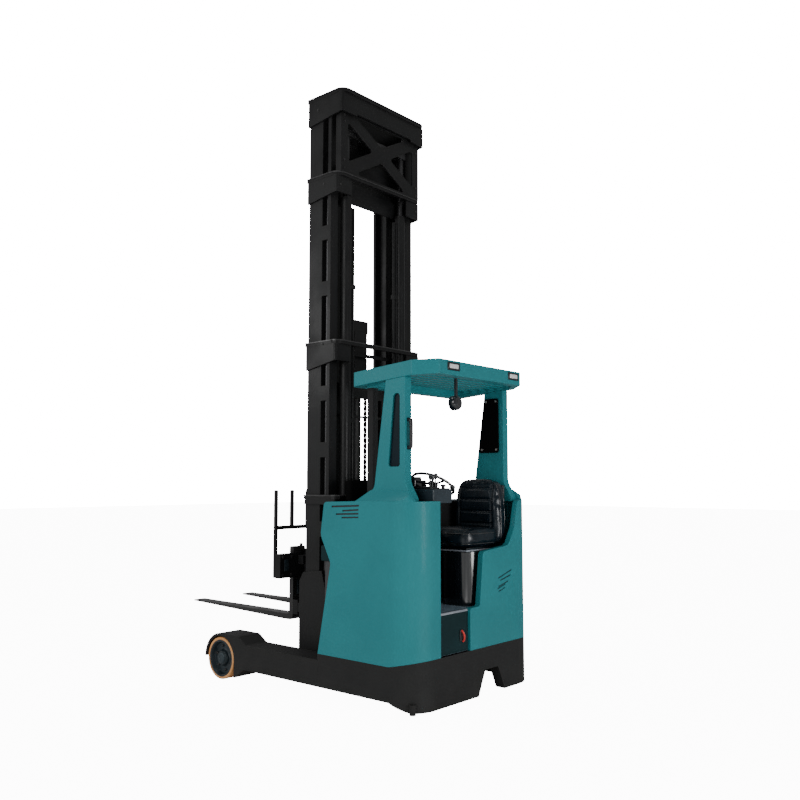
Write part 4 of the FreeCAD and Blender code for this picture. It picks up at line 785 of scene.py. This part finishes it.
# %% Console, display and levers
built("Console_top", "chassis", "dark_plastic",
      [(at(52, 222, 1312), at(240, 300, 1323), 0.005, 3), (at(60, 310, 1312), at(236, 392, 1330), 0.009, 3)])
built("Display_case", "chassis", "gloss_plastic", [(at(186, 330, 1326), at(246, 398, 1392), 0.008, 3)])
built("Display_glass", "chassis", "screen_glass", [(at(183.5, 336, 1334), at(188, 392, 1384), 0.001, 1)])
LEVER_KNOB = [(-0.020, 0.0), (-0.019, 0.006), (-0.010, 0.0095), (0.004, 0.0125), (0.011, 0.0115),
              (0.016, 0.0060), (0.017, 0.0)]
for i, (x, y, high) in enumerate(((78, 334, 1396), (106, 352, 1390), (72, 370, 1384))):
    pipe(f"Lever_{i}", "chassis", [at(x, y, 1326), at(x, y, 1346), at(x - 3, y, high - 14)], 0.0042,
         "dark_steel")
    built(f"Lever_knob_{i}", "chassis", "gloss_plastic",
          turned=[(LEVER_KNOB, at(x - 4, y, high), (-0.08, 0, 1), 24)])
built("Console_switches", "chassis", "gloss_plastic",
      [(at(132, y, 1328), at(148, y + 13, 1333), 0.0015, 2) for y in (318 + i * 17 for i in range(4))])
STOP_BUTTON = [(0.0, 0.0), (0.0, 0.011), (0.010, 0.011), (0.012, 0.017), (0.020, 0.017),
               (0.024, 0.013), (0.025, 0.0)]
built("Stop_button", "chassis", "dark_plastic", turned=[(STOP_BUTTON, at(74, 262, 1321), (0, 0, 1), 24)])

# %% Steering wheel
RIM_RADIUS, RIM_THICKNESS = 0.135, 0.009
wheel_axis = Vector((0, -math.sin(math.radians(30)), math.cos(math.radians(30))))
wheel_centre = at(180, 230, 1345)
wheel_side = Vector((1, 0, 0))
wheel_up = wheel_axis.cross(wheel_side)
rim = [(RIM_THICKNESS * math.sin(a), RIM_RADIUS + RIM_THICKNESS * math.cos(a))
       for a in (2 * math.pi * i / 12 for i in range(12))]
hub = [(-0.020, 0.0), (-0.020, 0.020), (-0.008, 0.026), (0.004, 0.034), (0.010, 0.029), (0.013, 0.0)]
wheel = built("Steering_rim", "chassis", "gloss_plastic", rings=[(rim, wheel_centre, wheel_axis, 96)],
              turned=[(hub, wheel_centre, wheel_axis, 32)])
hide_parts("steering_wheel")
for i, a in enumerate((0.35, math.pi - 0.35, 1.5 * math.pi)):
    way = wheel_side * math.cos(a) + wheel_up * math.sin(a)
    pipe(f"Steering_spoke_{i}", "chassis", [wheel_centre + way * r for r in (0.020, 0.07, 0.132)], 0.007,
         "dark_plastic")
boss = [(-0.060, 0.0), (-0.060, 0.026), (-0.015, 0.020), (-0.012, 0.0)]
built("Steering_boss", "chassis", "dark_plastic", turned=[(boss, wheel_centre, wheel_axis, 28)])
knob = [(0.004, 0.0), (0.004, 0.006), (0.014, 0.007), (0.018, 0.015), (0.030, 0.019), (0.040, 0.015),
        (0.044, 0.0)]
knob_place = wheel_centre + wheel_side * -0.085 + wheel_up * -0.085
built("Steering_knob", "chassis", "gloss_plastic", turned=[(knob, knob_place, wheel_axis, 28)])

# %% [markdown]
# ## Overhead guard
# Two lamps sit in the roof's rear edge, a round work lamp hangs under it, and the near pillar has a grab
# handle and a dark pane in its opening. Screws go where a line meets the surface, so that none of them
# floats or sinks in.

# %% Surface places
trees = {}


def surface(node, start, direction):
    """The point where a line first meets a CAD node, or None."""
    if node not in trees:
        bm = bmesh.new()
        bm.from_mesh(frame["nodes"][node].data)
        trees[node] = BVHTree.FromBMesh(bm)
        bm.free()
    return trees[node].ray_cast(Vector(start), Vector(direction).normalized())[0]


def bolts_on(name, node, starts, direction, size=0.008, height=0.006, finish_name="dark_bolt"):
    """Bolt heads on a node, each where its line meets the surface."""
    places = [spot for spot in (surface(node, start, direction) for start in starts) if spot]
    bolt_set(name, bodies[node], places, -Vector(direction), size, height, finish_name)


# %% Roof lamps
LAMP_MIDDLES = (297, -353)
bezel = built("Roof_lamp_frames", "chassis", "dark_plastic",
              [(at(-42.5, y - 62, 2034), at(-29, y + 62, 2083), 0.006, 3) for y in LAMP_MIDDLES])
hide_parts("rear_lamps")
built("Roof_lamp_glass", "chassis", "lamp_lens",
      [(at(-45, y - 43, 2045), at(-38, y + 43, 2072), 0.005, 3) for y in LAMP_MIDDLES])

# %% [markdown]
# The work lamp's case and bracket follow the photograph, which puts them 19 mm to the right of the CAD
# node.

# %% Work lamp
LAMP_CASE = [(-0.014, 0.0), (-0.014, 0.020), (-0.011, 0.024), (-0.011, 0.034), (-0.006, 0.040), (0.004, 0.045),
             (0.030, 0.046), (0.038, 0.046), (0.040, 0.043), (0.036, 0.040), (0.036, 0.0)]
LAMP_GLASS = [(0.034, 0.0), (0.034, 0.040), (0.037, 0.039), (0.039, 0.030), (0.040, 0.0)]
centre, axis = at(10, 196, 1846), (1, 0, 0)
lamp = built("Work_lamp_case", "chassis", "gloss_plastic", turned=[(LAMP_CASE, centre, axis, 48)])
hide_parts("work_lamp")
built("Work_lamp_glass", "chassis", "lamp_lens", turned=[(LAMP_GLASS, centre, axis, 40)])
built("Work_lamp_bracket", "chassis", "dark_plastic",
      [(at(12, 184, 1886), at(32, 208, 1891), 0.002, 1), (at(14, 187, 1888), at(30, 205, 1999), 0.002, 1)])

# %% Grab handle, pillar screws and pane
pipe("Grab_handle", "chassis",
     [at(x, 518, z) for x, z in ((140, 1562), (116, 1562), (112, 1580), (112, 1646), (112, 1714), (116, 1732),
                                 (140, 1732))], 0.0115, "dark_plastic")
for side, label in SIDES:
    bolts_on(f"Pillar_screws_{label}", "pillar_covers",
             [at(x, side * 300, z) for x, z in ((188, 1582), (308, 1582), (188, 1916), (270, 1916))],
             (0, side, 0), 0.0065, 0.004, "zinc_bolt")
pane_outline = [(179, 1452), (179, 1892), (227, 1892), (269, 1452)]
bm = bmesh.new()
add_prism(bm, *([at(x, y, z) for x, z in pane_outline] for y in (529, 535)))
add_piece("Pillar_pane", finished_mesh("Pillar_pane", bm), "chassis", "pane_dark", 30)

# %% [markdown]
# ## Bodywork
# Air slots are cut into the copies of the panels and have a dark plate behind them. Cutting comes before
# the edge bevel, so each slot has a soft rim.

# %% Air slots
SLOT_DEPTH = 0.020
PLATE_DEPTH = SLOT_DEPTH * 0.35


def slot_ring(start, end, radius, out, shift):
    """The outline of a slot with round ends, moved outwards by a shift."""
    along = (end - start).normalized()
    up = Vector([abs(value) for value in out]).cross(along).normalized()
    turns = [(spot, turn + math.pi * k / 6) for spot, turn in ((start, math.pi / 2), (end, -math.pi / 2))
             for k in range(7)]
    return [spot + (along * math.cos(a) + up * math.sin(a)) * radius + out * shift for spot, a in turns]


def slotted(node, name, slots, out):
    """Cut slots, given by their ends and height, into a softened panel facing out, with a plate behind."""
    cutter, plate = bmesh.new(), bmesh.new()
    for start, end, height in slots:
        for bm, grow, inner, outer in ((cutter, 1.0, -SLOT_DEPTH, 0.03),
                                       (plate, 0.98, -PLATE_DEPTH, -PLATE_DEPTH * 0.7)):
            add_prism(bm, *(slot_ring(start, end, height / 2 * grow, out, shift) for shift in (inner, outer)))
    knife = bpy.data.objects.new(name + "_knife", finished_mesh(name + "_knife", cutter))
    bpy.context.scene.collection.objects.link(knife)
    panel = soft[node]
    panel.modifiers.clear()
    carve = panel.modifiers.new("Slots", "BOOLEAN")
    carve.operation = "DIFFERENCE"
    carve.solver = "EXACT"
    carve.object = knife
    applied(panel)
    bpy.data.objects.remove(knife)
    soft_edges(panel, EDGE_WIDTHS[node])
    add_piece(name, finished_mesh(name, plate), bodies[node], "dark_plastic", 30)


slotted("side_panel_left", "Side_vent",
        [(at(660, 635, 1208), at(432, 635, 1217), 0.011), (at(566, 635, 1184), at(436, 635, 1192), 0.010),
         (at(622, 635, 1162), at(436, 635, 1169), 0.010), (at(572, 635, 1142), at(436, 635, 1147), 0.009)],
        Vector((0, 1, 0)))
slotted("rear_cover", "Rear_vent",
        [(at(0, -214, 747), at(0, -362, 789), 0.008), (at(0, -236, 731), at(0, -350, 757), 0.008),
         (at(0, -216, 694), at(0, -322, 720), 0.008), (at(0, -205, 682), at(0, -288, 702), 0.007),
         (at(0, -215, 663), at(0, -284, 682), 0.007)], Vector((-1, 0, 0)))

# %% [markdown]
# ## Mast
# The free-lift cylinder pushes a head with a sheave, and the chain runs over it: its rear run is anchored
# on the inner mast, its front run pulls the fork carriage. The rear run stands fixed in the scene without a
# body, and the front run rides on the rod. Cover plates on the middle mast close the windows of the head
# brace, a shield stands behind the cylinder, and pipes run down inside the uprights.

# %% Free-lift head and chain
CHAIN_TOP, CHAIN_Y = 2450, -33
FRONT_RUN_X, FRONT_RUN_LOW = 1087, 650
REAR_RUN_X, REAR_RUN_LOW = 1011, 425
ROD_SHAFT = [(0.0, 0.0), (0.0, 0.028), (1.921, 0.028), (1.923, 0.0)]
SHEAVE = [(-0.012, 0.0), (-0.012, 0.036), (-0.009, 0.036), (-0.009, 0.030), (0.009, 0.030), (0.009, 0.036),
          (0.012, 0.036), (0.012, 0.0)]
rod = built("Free_rod_shaft", "free_rod", "dark_steel", turned=[(ROD_SHAFT, at(1048, 40, 510), (0, 0, 1), 40)])
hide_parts("free_lift_rod")
built("Free_lift_head", "free_rod", "mast_black",
      [(at(1009, -50, 2432), at(1087, 112, 2508), 0.014, 3)]
      + [(at(x, -54, 2426), at(x + 4, 115, 2512), 0.002, 1) for x in (1004, 1088)],
      turned=[(SHEAVE, at(1049, CHAIN_Y, CHAIN_TOP), (0, 1, 0), 32)])


def chain(name, body, x, y, low, high, pitch=19.05):
    """A leaf chain between two heights: inner and outer plates in turn, with a pin at each joint."""
    pin = [(-0.0105, 0.0), (-0.0105, 0.004), (0.0105, 0.004), (0.0105, 0.0)]
    bm = bmesh.new()
    for i in range(int((high - low) / pitch)):
        z = low + i * pitch
        for row in (-3.2, 3.2) if i % 2 else (-8.0, 8.0):
            add_block(bm, at(x - 8.5, y + row - 1.5, z - 3), at(x + 8.5, y + row + 1.5, z + pitch + 3), 0)
        add_turned(bm, pin, at(x, y, z + pitch), (0, 1, 0), 8)
    return add_piece(name, finished_mesh(name, bm), body, "chain_steel", 30)


front_run = chain("Chain_front_run", "free_rod", FRONT_RUN_X, CHAIN_Y, FRONT_RUN_LOW, CHAIN_TOP)
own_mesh(front_run)
rear_run = chain("Chain_rear_run", None, REAR_RUN_X, CHAIN_Y, REAR_RUN_LOW, CHAIN_TOP)
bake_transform(rear_run)
built("Chain_anchor_rear", "inner_mast", "mast_black", [(at(1003, -45, 396), at(1036, 4, 428), 0.003, 1)])
built("Chain_anchor_front", "lift_carriage", "mast_black",
      [(at(1078, -45, 612), at(1150, -21, 652), 0.003, 1)])

# %% Mast head
built("Middle_mast_plates", "middle_mast", "mast_black",
      [(at(974, -346, low), at(988, 346, high), 0.002, 1) for low, high in ((3372, 3766), (3876, 4015))])
PIPE_LINE = ((398, 640), (398, 2000), (398, 3560), (380, 3620), (362, 3660))
for side, label in SIDES:
    pipe(f"Mast_pipe_{label}", "reach", [at(962, side * y, z) for y, z in PIPE_LINE], 0.009, "dark_steel")
bolts_on("Collar_bolts", "mast_yokes", [at(600, side * 400, 3385) for side in (1, -1)], (1, 0, 0), 0.008,
         0.005)
bolts_on("Brace_bolts", "mast_head_brace",
         [at(600, side * 380, z) for side in (1, -1) for z in (3500, 3560, 3830, 3880)],
         (1, 0, 0), 0.009, 0.006)
bolts_on("Collar_side_bolts", "mast_yokes",
         [at(x, side * 700, z) for side in (1, -1) for x, z in ((963, 3402), (1030, 3946), (963, 2290))],
         (0, -1, 0), 0.008, 0.005)
built("Mast_cross_ties", "reach", "mast_black",
      [(at(942, -357, 1941), at(954, 357, 2036), 0.002, 1),
       (at(943, -357, 1805), at(953, 357, 1820), 0.001, 1)])
built("Free_barrel_shield", "inner_mast", "mast_black",
      [(at(993, -18, 1950), at(1000, 92, 2428), 0.002, 1), (at(999, 8, 2010), at(1004, 72, 2180), 0.002, 1)])


# %% Collar lips
def lip(name, top, rear, half=444, front=1131, radius=68, inside=16, thick=9):
    """A thin U-shaped edge strip round the rear of a collar, with wide corners, painted lighter as a
    highlight.
    """
    path = [((front, half), (0, 1))]
    for sign in (1, -1):
        for i in range(9):
            a = math.pi / 2 * (i if sign == 1 else 8 - i) / 8
            way = (-math.sin(a), sign * math.cos(a))
            path.append(((rear + radius + way[0] * radius, sign * (half - radius) + way[1] * radius), way))
    path.append(((front, -half), (0, -1)))
    section = ((0, top - thick), (0, top - 2), (2, top), (inside, top), (inside, top - thick))
    bm = bmesh.new()
    rows = [[bm.verts.new(at(x - way[0] * deep, y - way[1] * deep, z)) for deep, z in section]
            for (x, y), way in path]
    add_walls(bm, rows)
    for row in (rows[0], rows[-1]):
        bm.faces.new(row)
    add_piece(name, finished_mesh(name, bm), "reach", "lip_painted_highlight", 30)


for name, top, rear in (("Lip_top", 4050, 775), ("Lip_upper", 3472, 822), ("Lip_middle", 2311, 822),
                        ("Lip_lower", 1275, 822)):
    lip(name, top, rear)

# %% [markdown]
# ## Fork carriage and small parts
# Each fork has wear pads and a latch on the carriage. A jacking point stands under the rear corner, a
# near-black cover in the space between cab and mast is painted shade, and the front post has a bracket.

# %% Fork carriage
LATCH_PIN = [(0.0, 0.0), (0.0, 0.011), (0.026, 0.011), (0.030, 0.008), (0.030, 0.0)]


def mirrored(side, x, y, z, bevel):
    """A block given by its low and high values along each axis, on one side of the truck."""
    low_y, high_y = sorted(side * value for value in y)
    return at(x[0], low_y, z[0]), at(x[1], high_y, z[1]), bevel, 2


for side, label in SIDES:
    built(f"Wear_pads_{label}", "fork_carriage", "cap_grey",
          [mirrored(side, (1341, 1348), (376, 415), (746, 827), 0.003),
           mirrored(side, (1391, 1398), (222, 252), (570, 674), 0.003)])
    built(f"Fork_latch_{label}", "fork_carriage", "fork_steel",
          [mirrored(side, (1350, 1392), (216, 332), (860, 912), 0.008)],
          turned=[(LATCH_PIN, at(1371, side * 240, 900), (0, 0, 1), 20)])
bolts_on("Carriage_bolts", "shift_carriage",
         [at(1250, side * y, z) for side in (1, -1) for y in (430, 350) for z in (722, 845)],
         (1, 0, 0), 0.009, 0.006)
bolts_on("Fork_bar_bolts", "shift_carriage",
         [at(1600, side * y, z) for side in (1, -1) for y in (60, 120, 400) for z in (782, 490)],
         (-1, 0, 0), 0.010, 0.007)

# %% Jacking point, front cover of painted shade, front post bracket and notch pad
JACK_FOOT = [(0.0, 0.0), (0.0, 0.017), (0.012, 0.021), (0.060, 0.022), (0.060, 0.0)]
built("Jack_point", "chassis", "chassis_black", turned=[(JACK_FOOT, at(52, 580, 44), (0, 0, 1), 24)],
      smooth_angle=30)
# A near-black block that fills the gap between cab and mast as painted shade.
built("Front_shade_cover", "chassis", "painted_shade_black", [(at(722, -380, 1236), at(776, 402, 1373), 0.014, 3)])
built("Front_post_bracket", "chassis", "teal_paint", [(at(408, 426, 1948), at(513, 484, 2004), 0.008, 2)])
built("Notch_pad", "chassis", "riser_rubber", [(at(705, 584, 866), at(791, 604, 962), 0.009, 3)])

# %% Finish
for node, carried in frame["nodes"].items():
    if node not in soft:
        carried.data.materials.clear()
        carried.data.materials.append(materials[finishes[node]])
